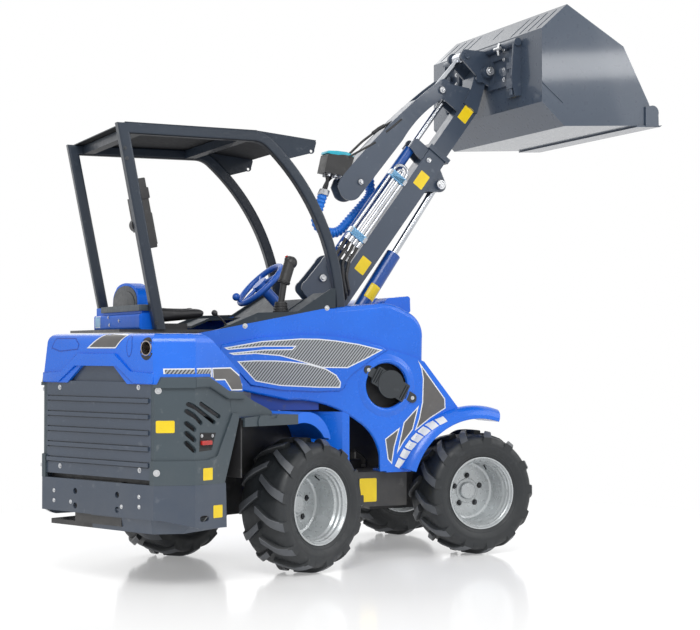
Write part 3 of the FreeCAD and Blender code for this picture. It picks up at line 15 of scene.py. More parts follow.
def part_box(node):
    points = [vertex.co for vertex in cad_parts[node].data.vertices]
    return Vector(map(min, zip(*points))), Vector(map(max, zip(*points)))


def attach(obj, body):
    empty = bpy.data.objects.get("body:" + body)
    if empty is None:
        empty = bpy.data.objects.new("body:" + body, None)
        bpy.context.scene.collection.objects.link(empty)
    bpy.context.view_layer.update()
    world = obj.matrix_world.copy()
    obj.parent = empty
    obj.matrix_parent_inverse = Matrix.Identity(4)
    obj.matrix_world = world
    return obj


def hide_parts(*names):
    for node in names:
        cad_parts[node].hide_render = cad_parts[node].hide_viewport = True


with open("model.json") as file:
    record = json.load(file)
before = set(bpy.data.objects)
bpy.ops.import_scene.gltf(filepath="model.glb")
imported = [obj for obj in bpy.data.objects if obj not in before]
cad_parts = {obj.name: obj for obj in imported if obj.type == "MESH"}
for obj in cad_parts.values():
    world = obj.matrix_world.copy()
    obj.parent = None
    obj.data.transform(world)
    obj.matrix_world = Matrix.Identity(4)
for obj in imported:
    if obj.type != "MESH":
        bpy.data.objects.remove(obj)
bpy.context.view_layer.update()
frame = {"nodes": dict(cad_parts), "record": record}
nodes = frame["nodes"]
record = frame["record"]

MM = 0.001
STEER_ANGLE = math.radians(24.4)      # how far the rear chassis is swung at rest
steering = next(j for j in record["behaviour"]["joints"] if j["name"] == "steering")
PIVOT = Vector((steering["pos_m"][0], steering["pos_m"][1], 0.0))
FRONT = Matrix.Translation(PIVOT)
REAR = FRONT @ Matrix.Rotation(STEER_ANGLE, 4, "Z")
REAR_TURN = REAR.to_3x3()
AHEAD, LEFT, UP = Vector((1, 0, 0)), Vector((0, 1, 0)), Vector((0, 0, 1))
HANDS = ((-1, "right"), (1, "left"))

BOOM_ANGLE = math.radians(53.2)
BOOM_PIN = (-190.0, 1035.0)
HEAD = 1657.0                         # boom pin to tool pin, along the boom
TOOL_PIN = (HEAD, 50.0)               # pins along the boom and square to it, from the boom pin
ARM_PIN = (1433.0, 180.0)
HEEL_PIN = (772.0, 252.0)
FOOT_PIN = (267.0, 128.0)
COLLAR_PIN = (1099.0, 25.0)
LIFT_EYE = (1041.0, -100.0)
LIFT_FOOT = (-219.0, 0.0, 726.0)      # lower pin of the lift cylinder
PIPE_Y = -46                          # the four pipes above the boom's right edge
PIPE_UP = (72, 97, 122, 147)

BODY_HALF = 450.0                     # front body's side from the middle plane
SLOT_HALF = 108.0                     # half the open slot between the domes, where the boom works
VENT_AT = (20.0, 808.0)               # round opening in the front body's side
VENT_EARS = ((-76, 882), (152, 748))  # bolts of its cover
TAIL_X = -1567.0                      # plane of the tail

AXLES = {"front": 482.0, "rear": -752.0}
TRACK_HALF = 423.5
TYRE_R = 295.0
TYRE_HALF = 131.0
LUGS = 13                             # tread bars on each side of a tyre
RIM_DISC = -40                        # outer face of the rim's disc from the tyre's middle
NUTS = 5
NUT_CIRCLE = 72                       # radius that the nuts stand on
RECESS_R = 13.5                       # round recess that each nut sits in
VALVE_ANGLE = math.radians(62)

BESIDE_FRONT = 700                    # where stickers are looked at from, clear of each surface
BESIDE_REAR = 800
BESIDE_BOOM = 300
BEHIND_TAIL = -1900
WHITE_EDGE = 5.0                      # border of a sticker
PAD_INSET = 7                         # room that a pad leaves to its block's faces, for its stuffing
MOST_SWELL = 8                        # furthest that the stuffing moves a point of the pad

SCUFF_SCALE = 26.0
SEAM = 0.0005                         # how softly one moulded colour meets the next, in metres
DUST_TOP, DUST_FULL = 0.75, 0.05      # metres above the ground where dust begins, and where it is full
DUST_COLOUR = (0.24, 0.23, 0.21)


def front(x, y, z):
    """Point of the front chassis."""
    return PIVOT + Vector((x, y, z)) * MM


def rear(x, y, z):
    """Point of the rear chassis, which is drawn straight and then swung."""
    return REAR @ (Vector((x, y, z)) * MM)


def boom(along, up, y):
    """Point given from the boom's lower pin: along it, square to it and across it."""
    c, s = math.cos(BOOM_ANGLE), math.sin(BOOM_ANGLE)
    return front(BOOM_PIN[0] + along * c - up * s, y, BOOM_PIN[1] + along * s + up * c)


def from_head(along, up, y):
    """Point given in the same directions from the boom's head."""
    return boom(HEAD + along, up, y)


def across_tail(y, z, x):
    """Plate on the rear chassis that is drawn in y and z and thick along x."""
    return rear(x, y, z)


def along_rear(x, z, y):
    """Plate on the rear chassis that is drawn in x and z and thick along y."""
    return rear(x, y, z)


def across_front(y, z, x):
    """Plate on the front chassis that is drawn in y and z and thick along x."""
    return front(x, y, z)


# ---------------------------------------------------------------- materials
def blank_material(name):
    material = bpy.data.materials.new(name)
    material.use_nodes = True
    tree = material.node_tree
    return material, tree, tree.nodes["Principled BSDF"]


def noise_node(tree, coords, scale, detail=3.0):
    node = tree.nodes.new("ShaderNodeTexNoise")
    node.inputs["Scale"].default_value = scale
    node.inputs["Detail"].default_value = detail
    tree.links.new(coords, node.inputs["Vector"])
    return node.outputs["Fac"]


def axis_of(tree, vector, axis):
    """One number of a vector."""
    split = tree.nodes.new("ShaderNodeSeparateXYZ")
    tree.links.new(vector, split.inputs[0])
    return split.outputs[axis]


def spread(tree, value, low, high, to_low=0.0, to_high=1.0):
    """value taken from the range low..high to to_low..to_high, and held there."""
    node = tree.nodes.new("ShaderNodeMapRange")
    for key, number in (("From Min", low), ("From Max", high), ("To Min", to_low), ("To Max", to_high)):
        node.inputs[key].default_value = number
    tree.links.new(value, node.inputs["Value"])
    return node.outputs["Result"]


def mixed(tree, factor, a, b):
    """Colour that goes from a to b; each is a socket or three numbers."""
    node = tree.nodes.new("ShaderNodeMix")
    node.data_type = "RGBA"
    tree.links.new(factor, node.inputs[0])
    for socket, colour in ((node.inputs[6], a), (node.inputs[7], b)):
        if isinstance(colour, tuple):
            socket.default_value = (*colour, 1)
        else:
            tree.links.new(colour, socket)
    return node.outputs[2]


def maths(tree, operation, a, b=None):
    """Sum of one or two values; each is a socket or a number."""
    node = tree.nodes.new("ShaderNodeMath")
    node.operation = operation
    for socket, value in ((node.inputs[0], a), (node.inputs[1], b)):
        if isinstance(value, (int, float)):
            socket.default_value = value
        elif value is not None:
            tree.links.new(value, socket)
    return node.outputs[0]


def surface(name, colour, deep, rough, scuff, scuffs=0.25, grain=900.0, bump=0.03, drift=2.2, dust=0.15,
            metallic=0.0, coat=0.0, pattern=None, gloss=0.5, underside_shade=None):
    """Finish that drifts from colour to deep in soft patches. Small scuffs, fine grain, uneven gloss and
    dust that gathers low down make it a used one; pattern(tree, coords, colour) may draw on the colour.
    Faces that look down are darkened to the given underside colour, a painted shade, and go matt."""
    material, tree, shader = blank_material(name)
    link = tree.links.new
    coords = tree.nodes.new("ShaderNodeTexCoord").outputs["Object"]
    tint = mixed(tree, spread(tree, noise_node(tree, coords, drift, 4), 0.35, 0.65), colour, deep)
    if pattern:
        tint = pattern(tree, coords, tint)
    marks = noise_node(tree, coords, SCUFF_SCALE, 9)
    worn = maths(tree, "MULTIPLY", spread(tree, marks, 0.63, 0.72), scuffs)
    tint = mixed(tree, worn, tint, scuff)
    low = spread(tree, axis_of(tree, coords, "Z"), DUST_TOP, DUST_FULL, 0.0, dust)
    patches = spread(tree, noise_node(tree, coords, 9.0, 6), 0.3, 0.75)
    tint = mixed(tree, maths(tree, "MULTIPLY", low, patches), tint, DUST_COLOUR)
    sheen = spread(tree, noise_node(tree, coords, 40.0, 5), 0.3, 0.7, rough[0], rough[1])
    # painted shade: faces that look down are darkened towards the given colour
    if underside_shade:
        facing = tree.nodes.new("ShaderNodeNewGeometry").outputs["True Normal"]
        down = spread(tree, axis_of(tree, facing, "Z"), -0.3, -0.7)
        tint = mixed(tree, down, tint, underside_shade)
        sheen = maths(tree, "ADD", sheen, maths(tree, "MULTIPLY", down, 0.5))
    link(tint, shader.inputs["Base Color"])
    link(sheen, shader.inputs["Roughness"])
    shader.inputs["Specular IOR Level"].default_value = gloss
    lump = tree.nodes.new("ShaderNodeBump")
    lump.inputs["Strength"].default_value = bump
    lump.inputs["Distance"].default_value = 0.001
    link(noise_node(tree, coords, grain, 2), lump.inputs["Height"])
    link(lump.outputs["Normal"], shader.inputs["Normal"])
    shader.inputs["Metallic"].default_value = metallic
    if coat:
        shader.inputs["Coat Weight"].default_value = coat
        shader.inputs["Coat Roughness"].default_value = 0.06
    return material


def hatch(pitch, dark, light, share=0.45):
    """Slanting lines, pitch millimetres apart: dark for that share of the pitch, and then light."""
    def draw(tree, coords, tint):
        turn = tree.nodes.new("ShaderNodeMapping")
        turn.inputs["Rotation"].default_value = (0.0, math.radians(-40), 0.0)
        tree.links.new(coords, turn.inputs["Vector"])
        across = axis_of(tree, turn.outputs[0], "X")
        line = maths(tree, "FRACT", maths(tree, "MULTIPLY", across, 1 / (pitch * MM)))
        starts, ends = spread(tree, line, share - 0.08, share), spread(tree, line, 1.0, 0.92)
        return mixed(tree, maths(tree, "MULTIPLY", starts, ends), dark, light)
    return draw


def at_front(limit):
    """Blue ahead of x = limit on the rear chassis, and the tint behind it."""
    def draw(tree, coords, tint):
        turn = tree.nodes.new("ShaderNodeMapping")
        turn.vector_type = "TEXTURE"
        turn.inputs["Location"].default_value = PIVOT
        turn.inputs["Rotation"].default_value = (0.0, 0.0, STEER_ANGLE)
        tree.links.new(coords, turn.inputs["Vector"])
        ahead = spread(tree, axis_of(tree, turn.outputs[0], "X"), limit * MM - SEAM, limit * MM)
        return mixed(tree, ahead, tint, BLUE)
    return draw


def above(height, tint_below):
    """The tint above that height, and another below it."""
    def draw(tree, coords, tint):
        over = spread(tree, axis_of(tree, coords, "Z"), height * MM - SEAM, height * MM)
        return mixed(tree, over, tint_below, tint)
    return draw


BLUE = (0.002, 0.142, 0.74)
BLUE_DEEP = (0.001, 0.115, 0.62)
GREY = (0.048, 0.068, 0.082)
GREY_DEEP = (0.04, 0.057, 0.07)
GRAPHITE = (0.044, 0.062, 0.094)
GRAPHITE_DEEP = (0.036, 0.052, 0.08)

blue_shell = surface("blue_shell_gloss", BLUE, BLUE_DEEP, (0.2, 0.3), (0.03, 0.2, 0.82), scuffs=0.2,
                     grain=700, bump=0.012, dust=0.06, coat=0.15)
grey_shell = surface("grey_shell_moulding", GREY, GREY_DEEP, (0.42, 0.56), (0.2, 0.22, 0.23), scuffs=0.3,
                     grain=1500, bump=0.12)
wing_shell = surface("rear_wing_two_tone", GREY, GREY_DEEP, (0.40, 0.52), (0.2, 0.22, 0.23), scuffs=0.3,
                     grain=1500, bump=0.1, pattern=at_front(-840))
graphite = surface("graphite_paint", GRAPHITE, GRAPHITE_DEEP, (0.28, 0.42), (0.16, 0.18, 0.21), scuffs=0.3,
                   grain=800, bump=0.05, coat=0.2)
bucket_paint = surface("bucket_graphite", (0.046, 0.066, 0.098), (0.038, 0.054, 0.083), (0.26, 0.34),
                       (0.09, 0.11, 0.14), scuffs=0.2, grain=600, bump=0.002, drift=1.4, dust=0.0, coat=0.5,
                       gloss=0.25)
box_blue = surface("blue_box_satin", BLUE, BLUE_DEEP, (0.42, 0.5), (0.03, 0.2, 0.82), scuffs=0.15,
                   grain=700, bump=0.003, dust=0.0, gloss=0.2)
black_paint = surface("black_frame_paint", (0.022, 0.023, 0.026), (0.016, 0.016, 0.018), (0.35, 0.5),
                      (0.08, 0.08, 0.08), scuffs=0.4, grain=700, bump=0.08, dust=0.3)
# below 1 m the platform is deep blue: painted shade of the blue body panel that curves inwards there
platform_paint_shaded_blue = surface("platform_black_and_painted_shade_blue", (0.022, 0.023, 0.026), (0.016, 0.016, 0.018), (0.35, 0.5),
                         (0.08, 0.08, 0.08), scuffs=0.3, grain=700, bump=0.06,
                         pattern=above(1000, (0.001, 0.04, 0.3)))
finned_plastic = surface("vent_cover_plastic", (0.022, 0.028, 0.034), (0.017, 0.022, 0.027), (0.36, 0.5),
                         (0.08, 0.09, 0.1), scuffs=0.3, grain=1300, bump=0.1)
# the posts' downward faces are painted darker as shade
post_paint = surface("post_graphite", (0.022, 0.032, 0.048), (0.017, 0.025, 0.038), (0.28, 0.4),
                     (0.1, 0.12, 0.14), scuffs=0.2, grain=900, bump=0.03, coat=0.1, gloss=0.35,
                     underside_shade=(0.006, 0.008, 0.012))
console_plastic = surface("console_plastic", (0.026, 0.036, 0.046), (0.02, 0.028, 0.037), (0.5, 0.62),
                          (0.1, 0.11, 0.12), scuffs=0.2, grain=1500, bump=0.1, gloss=0.3)
cylinder_blue = surface("cylinder_blue_paint", (0.004, 0.075, 0.34), (0.003, 0.055, 0.27), (0.26, 0.38),
                        (0.05, 0.15, 0.45), scuffs=0.3, grain=800, bump=0.02, coat=0.2)
chrome = surface("chrome_rod", (0.56, 0.58, 0.61), (0.44, 0.46, 0.5), (0.08, 0.18), (0.5, 0.5, 0.5),
                 scuffs=0.3, grain=1200, bump=0.01, drift=8.0, dust=0.0, metallic=1.0)
zinc = surface("zinc_fitting", (0.62, 0.63, 0.64), (0.5, 0.51, 0.53), (0.22, 0.38), (0.4, 0.38, 0.34),
               scuffs=0.4, grain=1600, bump=0.05, drift=30.0, dust=0.0, metallic=0.9)
dark_steel = surface("dark_bolt_steel", (0.07, 0.075, 0.085), (0.04, 0.045, 0.05), (0.3, 0.45),
                     (0.3, 0.3, 0.3), scuffs=0.5, grain=1600, bump=0.08, drift=30.0, dust=0.1, metallic=0.7)
exhaust_steel = surface("exhaust_steel", (0.5, 0.46, 0.43), (0.3, 0.25, 0.23), (0.18, 0.4),
                        (0.15, 0.1, 0.08), scuffs=0.5, grain=900, bump=0.1, drift=14.0, dust=0.0,
                        metallic=0.95)
engine_iron = surface("engine_iron", (0.06, 0.06, 0.065), (0.04, 0.04, 0.044), (0.5, 0.7),
                      (0.14, 0.13, 0.12), scuffs=0.5, grain=500, bump=0.3, drift=8.0)
rim_silver = surface("silver_rim_paint", (0.52, 0.55, 0.56), (0.46, 0.48, 0.49), (0.24, 0.36),
                     (0.4, 0.4, 0.4), scuffs=0.14, grain=1400, bump=0.03, drift=6.0, dust=0.1, metallic=0.4)
tyre_rubber = surface("tyre_rubber", (0.008, 0.0105, 0.013), (0.013, 0.016, 0.019), (0.42, 0.6),
                      (0.04, 0.045, 0.05), scuffs=0.35, grain=420, bump=0.15, drift=5.0, dust=0.04)
# lighter rubber for the outward faces of the tread bars: a painted highlight
painted_lit_tread = surface("tread_tops_painted_lit", (0.085, 0.092, 0.104), (0.055, 0.061, 0.07), (0.34, 0.5),
                       (0.12, 0.125, 0.13), scuffs=0.4, grain=380, bump=0.2, drift=9.0, dust=0.06)
rubber = surface("black_hose_rubber", (0.014, 0.014, 0.015), (0.022, 0.022, 0.023), (0.4, 0.55),
                 (0.07, 0.07, 0.07), scuffs=0.4, grain=1800, bump=0.15, drift=12.0, dust=0.1)
seat_vinyl = surface("seat_vinyl", (0.014, 0.014, 0.016), (0.02, 0.02, 0.023), (0.36, 0.52),
                     (0.05, 0.05, 0.055), scuffs=0.3, grain=1100, bump=0.35, drift=6.0, dust=0.0)
blue_grip = surface("blue_wheel_grip", (0.02, 0.12, 0.55), (0.015, 0.1, 0.45), (0.3, 0.42), (0.1, 0.2, 0.5),
                    scuffs=0.3, grain=1500, bump=0.12, drift=9.0, dust=0.0)
hose_blue = surface("blue_spiral_guard", (0.012, 0.22, 0.8), (0.01, 0.17, 0.68), (0.3, 0.44),
                    (0.05, 0.25, 0.6), scuffs=0.3, grain=1200, bump=0.1, drift=12.0, dust=0.0)
light_blue = surface("light_blue_clamp", (0.22, 0.5, 0.78), (0.18, 0.44, 0.72), (0.3, 0.42),
                     (0.4, 0.6, 0.8), scuffs=0.3, grain=1200, bump=0.06, drift=20.0, dust=0.0)
cyan_cover = surface("cyan_coupler_cover", (0.02, 0.42, 0.55), (0.015, 0.34, 0.46), (0.28, 0.4),
                     (0.1, 0.5, 0.6), scuffs=0.3, grain=1200, bump=0.06, drift=14.0, dust=0.0)
safety_yellow = surface("yellow_label", (0.85, 0.62, 0.01), (0.8, 0.57, 0.008), (0.3, 0.4),
                        (0.6, 0.45, 0.05), scuffs=0.3, grain=1500, bump=0.02, drift=20.0, dust=0.1)
sticker_white = surface("white_sticker_edge", (0.78, 0.8, 0.82), (0.72, 0.74, 0.77), (0.25, 0.35),
                        (0.5, 0.5, 0.5), scuffs=0.3, grain=1500, bump=0.02, drift=20.0, dust=0.1)
sticker_grey = surface("grey_sticker", (0.11, 0.105, 0.102), (0.095, 0.092, 0.09), (0.28, 0.38),
                       (0.2, 0.2, 0.2), scuffs=0.3, grain=1500, bump=0.03, drift=12.0, dust=0.1)
sticker_hatch = surface("hatched_sticker", (0.05, 0.05, 0.055), (0.04, 0.04, 0.045), (0.28, 0.38),
                        (0.2, 0.2, 0.2), scuffs=0.2, grain=1500, bump=0.02, drift=12.0, dust=0.1,
                        pattern=hatch(11.5, (0.035, 0.036, 0.04), (0.36, 0.38, 0.4)))
# darker blue for the borders of the drawn recesses: painted shade in their grooves
painted_groove_shade = surface("painted_groove_shade", (0.002, 0.06, 0.42), (0.002, 0.05, 0.36), (0.3, 0.4), (0.01, 0.1, 0.5),
                      scuffs=0.2, grain=900, bump=0.03)
lamp_red = surface("red_reflector", (0.5, 0.02, 0.015), (0.4, 0.015, 0.01), (0.15, 0.25), (0.6, 0.1, 0.1),
                   scuffs=0.2, grain=900, bump=0.05, drift=20.0, dust=0.0, coat=0.5)
# near-black that stands in for the shade inside recesses and wells: painted shade
painted_shade_dark = surface("painted_shade_inside", (0.006, 0.006, 0.007), (0.01, 0.01, 0.011), (0.6, 0.8),
                    (0.02, 0.02, 0.02), scuffs=0.2, grain=600, bump=0.1, drift=10.0)
# the canopy's underside is painted darker as shade
canopy_paint = surface("canopy_graphite", (0.022, 0.032, 0.048), (0.017, 0.025, 0.038), (0.3, 0.42),
                       (0.14, 0.16, 0.18), scuffs=0.2, grain=900, bump=0.03, gloss=0.3,
                       underside_shade=(0.004, 0.0045, 0.006))


def lamp_glass():
    """Clear lens with fine flutes, coloured pale as a painted reflection of the lamp's bright bowl."""
    material, tree, shader = blank_material("lamp_lens")
    coords = tree.nodes.new("ShaderNodeTexCoord").outputs["Object"]
    tint = mixed(tree, noise_node(tree, coords, 60.0), (0.75, 0.8, 0.86), (0.92, 0.94, 0.97))
    tree.links.new(tint, shader.inputs["Base Color"])
    sheen = spread(tree, noise_node(tree, coords, 220.0), 0.3, 0.7, 0.03, 0.12)
    tree.links.new(sheen, shader.inputs["Roughness"])
    shader.inputs["Transmission Weight"].default_value = 0.5
    return material


lens = lamp_glass()
FINISH = {
    "rim_silver": rim_silver, "blue_shell": blue_shell, "grey_shell": grey_shell, "graphite_paint": graphite,
    "black_paint": black_paint, "blue_paint": cylinder_blue, "chrome_rod": chrome, "tyre": tyre_rubber,
    "exhaust_steel": exhaust_steel, "engine_iron": engine_iron, "seat_vinyl": seat_vinyl,
    "black_rubber": rubber, "blue_rubber": blue_grip, "hose_blue": hose_blue, "coupler_paint": rubber,
}
SPECIAL = {
    "bucket": bucket_paint, "cutting_edge": bucket_paint, "canopy": canopy_paint,
    "rollover_frame": post_paint,
    "rear_fender_right": wing_shell, "rear_fender_left": wing_shell, "vent_cover_right": finned_plastic,
    "vent_cover_left": finned_plastic, "platform": platform_paint_shaded_blue, "console": console_plastic,
    "rear_box": box_blue,
}


def finish_nodes():
    """Every CAD node takes the finish of its slot, or its own."""
    for part in record["subparts"]:
        material = SPECIAL.get(part["node"], FINISH[part["material_slot"]])
        mesh = nodes[part["node"]].data
        mesh.materials.clear()
        mesh.materials.append(material)


# ---------------------------------------------------------------- making pieces
def new_object(name, data):
    """Object at the origin, in the scene."""
    obj = bpy.data.objects.new(name, data)
    bpy.context.collection.objects.link(obj)
    return obj


def piece(name, mesh, body, slot, *stands_for):
    """Adds a mesh, whose points are already in place, as a piece that rides on a body."""
    obj = new_object(name, mesh)
    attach(obj, body)
    if stands_for:
        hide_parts(*stands_for)
    return obj


def shaded(mesh, angle=35.0):
    """Smooth shading, with edges sharper than the angle kept."""
    mesh.shade_smooth()
    mesh.set_sharp_from_angle(angle=math.radians(angle))
    return mesh


def lathe_into(bm, profile, centre, axis, around, segments, closed=False):
    """Revolves (radius, along) points about the axis; radius 0 closes at a pole."""
    axis = axis.normalized()
    side = around.normalized()
    third = axis.cross(side)
    rings = []
    for radius, along in profile:
        foot = centre + axis * along * MM
        if radius == 0:
            rings.append([bm.verts.new(foot)])
            continue
        rings.append([bm.verts.new(foot + (side * math.cos(a) + third * math.sin(a)) * radius * MM)
                      for a in (2 * math.pi * i / segments for i in range(segments))])
    pairs = list(zip(rings, rings[1:] + rings[:1])) if closed else list(zip(rings, rings[1:]))
    for low, high in pairs:
        for i in range(segments):
            j = (i + 1) % segments
            if len(low) == 1:
                bm.faces.new((low[0], high[i], high[j]))
            elif len(high) == 1:
                bm.faces.new((low[j], low[i], high[0]))
            else:
                bm.faces.new((low[i], low[j], high[j], high[i]))


def mesh_of(bm, name, *materials):
    """Closed and shaded mesh, with its faces outward."""
    bmesh.ops.remove_doubles(bm, verts=bm.verts, dist=1e-6)
    bmesh.ops.recalc_face_normals(bm, faces=bm.faces)
    mesh = bpy.data.meshes.new(name)
    bm.to_mesh(mesh)
    bm.free()
    for material in materials:
        mesh.materials.append(material)
    return shaded(mesh)


def finished(bm, name, material, body, slot):
    """Adds the mesh, in one material, as a piece."""
    return piece(name, mesh_of(bm, name, material), body, slot)


def prism_into(bm, outline, place, low, high, bevel=1.5):
    """Plate with that outline, from low to high along place's third number, its edges broken."""
    bottom = [bm.verts.new(place(u, v, low)) for u, v in outline]
    top = [bm.verts.new(place(u, v, high)) for u, v in outline]
    faces = [bm.faces.new(bottom), bm.faces.new(list(reversed(top)))]
    for i in range(len(outline)):
        j = (i + 1) % len(outline)
        faces.append(bm.faces.new((bottom[j], bottom[i], top[i], top[j])))
    if bevel:
        edges = {e for f in faces for e in f.edges}
        bmesh.ops.bevel(bm, geom=list(edges), offset=bevel * MM, segments=2, affect="EDGES", profile=0.6)


def tube_into(bm, path, radius, segments=16):
    """Round bar along the points, with flat ends."""
    rings = []
    up = Vector((0.13, 0.97, 0.2))
    for i, point in enumerate(path):
        along = (path[min(i + 1, len(path) - 1)] - path[max(i - 1, 0)]).normalized()
        side = along.cross(up).normalized()
        third = along.cross(side)
        rings.append([bm.verts.new(point + (side * math.cos(a) + third * math.sin(a)) * radius * MM)
                      for a in (2 * math.pi * k / segments for k in range(segments))])
    bm.faces.new(rings[0])
    bm.faces.new(list(reversed(rings[-1])))
    for low, high in zip(rings, rings[1:]):
        for k in range(segments):
            bm.faces.new((low[k], low[(k + 1) % segments], high[(k + 1) % segments], high[k]))


# ---------------------------------------------------------------- things that repeat
def new_group(name, *inputs):
    """Node group with a Geometry input and output, and the named inputs (name, socket type, value)."""
    group = bpy.data.node_groups.new(name, "GeometryNodeTree")
    group.interface.new_socket("Geometry", in_out="INPUT", socket_type="NodeSocketGeometry")
    for label, kind, value in inputs:
        socket = group.interface.new_socket(label, in_out="INPUT", socket_type=kind)
        if value is not None:
            socket.default_value = value
    group.interface.new_socket("Geometry", in_out="OUTPUT", socket_type="NodeSocketGeometry")
    return group, group.nodes.new("NodeGroupInput"), group.nodes.new("NodeGroupOutput")


def end_group(group, given, out, geometry):
    """Realizes the instances, shades them and gives them their material."""
    realize = group.nodes.new("GeometryNodeRealizeInstances")
    paint = group.nodes.new("GeometryNodeSetMaterial")
    group.links.new(geometry, realize.inputs[0])
    group.links.new(realize.outputs[0], paint.inputs["Geometry"])
    group.links.new(given.outputs["Material"], paint.inputs["Material"])
    group.links.new(paint.outputs[0], out.inputs[0])


def repeat_group():
    """Copies the shape it is given: each copy is one Step further and one Turn on about the origin."""
    group, given, out = new_group(
        "repeat_shape", ("Count", "NodeSocketInt", 2), ("Step", "NodeSocketVector", (0, 0, 0)),
        ("Turn", "NodeSocketVector", (0, 0, 0)), ("Material", "NodeSocketMaterial", None))
    link = group.links.new
    index = group.nodes.new("GeometryNodeInputIndex")
    points = group.nodes.new("GeometryNodePoints")
    copies = group.nodes.new("GeometryNodeInstanceOnPoints")
    to_turn = group.nodes.new("FunctionNodeEulerToRotation")
    for key, target in (("Step", points.inputs["Position"]), ("Turn", to_turn.inputs[0])):
        scale = group.nodes.new("ShaderNodeVectorMath")
        scale.operation = "SCALE"
        link(given.outputs[key], scale.inputs[0])
        link(index.outputs[0], scale.inputs["Scale"])
        link(scale.outputs[0], target)
    link(given.outputs["Count"], points.inputs["Count"])
    link(points.outputs[0], copies.inputs["Points"])
    link(given.outputs["Geometry"], copies.inputs["Instance"])
    link(to_turn.outputs[0], copies.inputs["Rotation"])
    end_group(group, given, out, copies.outputs[0])
    return group


def bolt_group():
    """A hex head on a washer at each point, square to the point's stored facing."""
    group, given, out = new_group(
        "bolt_heads", ("Head Radius", "NodeSocketFloat", 0.008), ("Head Height", "NodeSocketFloat", 0.006),
        ("Washer Radius", "NodeSocketFloat", 0.012), ("Sides", "NodeSocketInt", 6),
        ("Material", "NodeSocketMaterial", None))
    link = group.links.new
    head = group.nodes.new("GeometryNodeMeshCone")
    washer = group.nodes.new("GeometryNodeMeshCylinder")
    washer.inputs["Vertices"].default_value = 24
    washer.inputs["Depth"].default_value = 0.0016
    link(given.outputs["Sides"], head.inputs["Vertices"])
    link(given.outputs["Head Radius"], head.inputs["Radius Bottom"])
    link(given.outputs["Head Height"], head.inputs["Depth"])
    link(given.outputs["Washer Radius"], washer.inputs["Radius"])
    link(maths(group, "MULTIPLY", given.outputs["Head Radius"], 0.86), head.inputs["Radius Top"])
    both = group.nodes.new("GeometryNodeJoinGeometry")
    link(head.outputs["Mesh"], both.inputs[0])
    link(washer.outputs["Mesh"], both.inputs[0])
    facing = group.nodes.new("GeometryNodeInputNamedAttribute")
    facing.data_type = "FLOAT_VECTOR"
    facing.inputs["Name"].default_value = "facing"
    align = group.nodes.new("FunctionNodeAlignRotationToVector")
    align.axis = "Z"
    link(facing.outputs["Attribute"], align.inputs["Vector"])
    copies = group.nodes.new("GeometryNodeInstanceOnPoints")
    link(given.outputs["Geometry"], copies.inputs["Points"])
    link(both.outputs[0], copies.inputs["Instance"])
    link(align.outputs[0], copies.inputs["Rotation"])
    end_group(group, given, out, copies.outputs[0])
    return group


def ribbed_hose_group():
    """Ribbed hose along the edges that it is given: its radius swells once every Pitch."""
    group, given, out = new_group(
        "ribbed_hose", ("Radius", "NodeSocketFloat", 0.02), ("Rib Depth", "NodeSocketFloat", 0.003),
        ("Pitch", "NodeSocketFloat", 0.01), ("Material", "NodeSocketMaterial", None))
    link = group.links.new
    radius, depth, pitch = (given.outputs[key] for key in ("Radius", "Rib Depth", "Pitch"))
    curve = group.nodes.new("GeometryNodeMeshToCurve")
    resample = group.nodes.new("GeometryNodeResampleCurve")
    resample.mode = "LENGTH"
    link(given.outputs["Geometry"], curve.inputs["Mesh"])
    link(curve.outputs[0], resample.inputs["Curve"])
    link(maths(group, "DIVIDE", pitch, 8.0), resample.inputs["Length"])
    along = group.nodes.new("GeometryNodeSplineParameter").outputs["Length"]
    angle = maths(group, "MULTIPLY", maths(group, "DIVIDE", along, pitch), 2 * math.pi)
    wave = maths(group, "SUBTRACT", maths(group, "COSINE", angle), 1.0)
    swell = maths(group, "MULTIPLY", maths(group, "MULTIPLY", wave, 0.5), depth)
    ring = group.nodes.new("GeometryNodeCurvePrimitiveCircle")
    ring.inputs["Resolution"].default_value = 28
    ring.inputs["Radius"].default_value = 1.0
    skin = group.nodes.new("GeometryNodeCurveToMesh")
    skin.inputs["Fill Caps"].default_value = True
    link(resample.outputs[0], skin.inputs["Curve"])
    link(ring.outputs["Curve"], skin.inputs["Profile Curve"])
    link(maths(group, "ADD", radius, swell), skin.inputs["Scale"])
    end_group(group, given, out, skin.outputs[0])
    return group


def evaluated(obj):
    """Plain mesh of the object as its modifiers leave it."""
    return bpy.data.meshes.new_from_object(obj.evaluated_get(bpy.context.evaluated_depsgraph_get()))


def grown(name, source, group, material, **inputs):
    """Runs a node group on a mesh and gives the result as a plain mesh."""
    obj = new_object(name + "_seed", source)
    modifier = obj.modifiers.new("grow", "NODES")
    modifier.node_group = group
    inputs["Material"] = material
    for item in group.interface.items_tree:
        if item.in_out == "INPUT" and item.name in inputs:
            modifier[item.identifier] = inputs[item.name]
    bpy.context.view_layer.update()
    mesh = evaluated(obj)
    mesh.name = name
    bpy.data.objects.remove(obj)
    if not mesh.polygons:
        raise RuntimeError(f"{name} came out empty")
    return mesh


repeat_shape = repeat_group()
bolt_heads = bolt_group()
ribbed_hose = ribbed_hose_group()


def bolts(name, body, spots, head=8.0, height=6.0, washer=12.0, sides=6, material=None, slot="chrome_rod"):
    """Bolt heads at (point, facing) spots."""
    mesh = bpy.data.meshes.new(name + "_spots")
    mesh.from_pydata([p + d.normalized() * height * 0.1 * MM for p, d in spots], [], [])
    facing = mesh.attributes.new("facing", "FLOAT_VECTOR", "POINT")
    for i, (_, direction) in enumerate(spots):
        facing.data[i].vector = direction.normalized()
    made = grown(name, mesh, bolt_heads, material or zinc, **{
        "Head Radius": head * MM, "Head Height": height * MM, "Washer Radius": washer * MM, "Sides": sides})
    return piece(name, shaded(made, 25), body, slot)


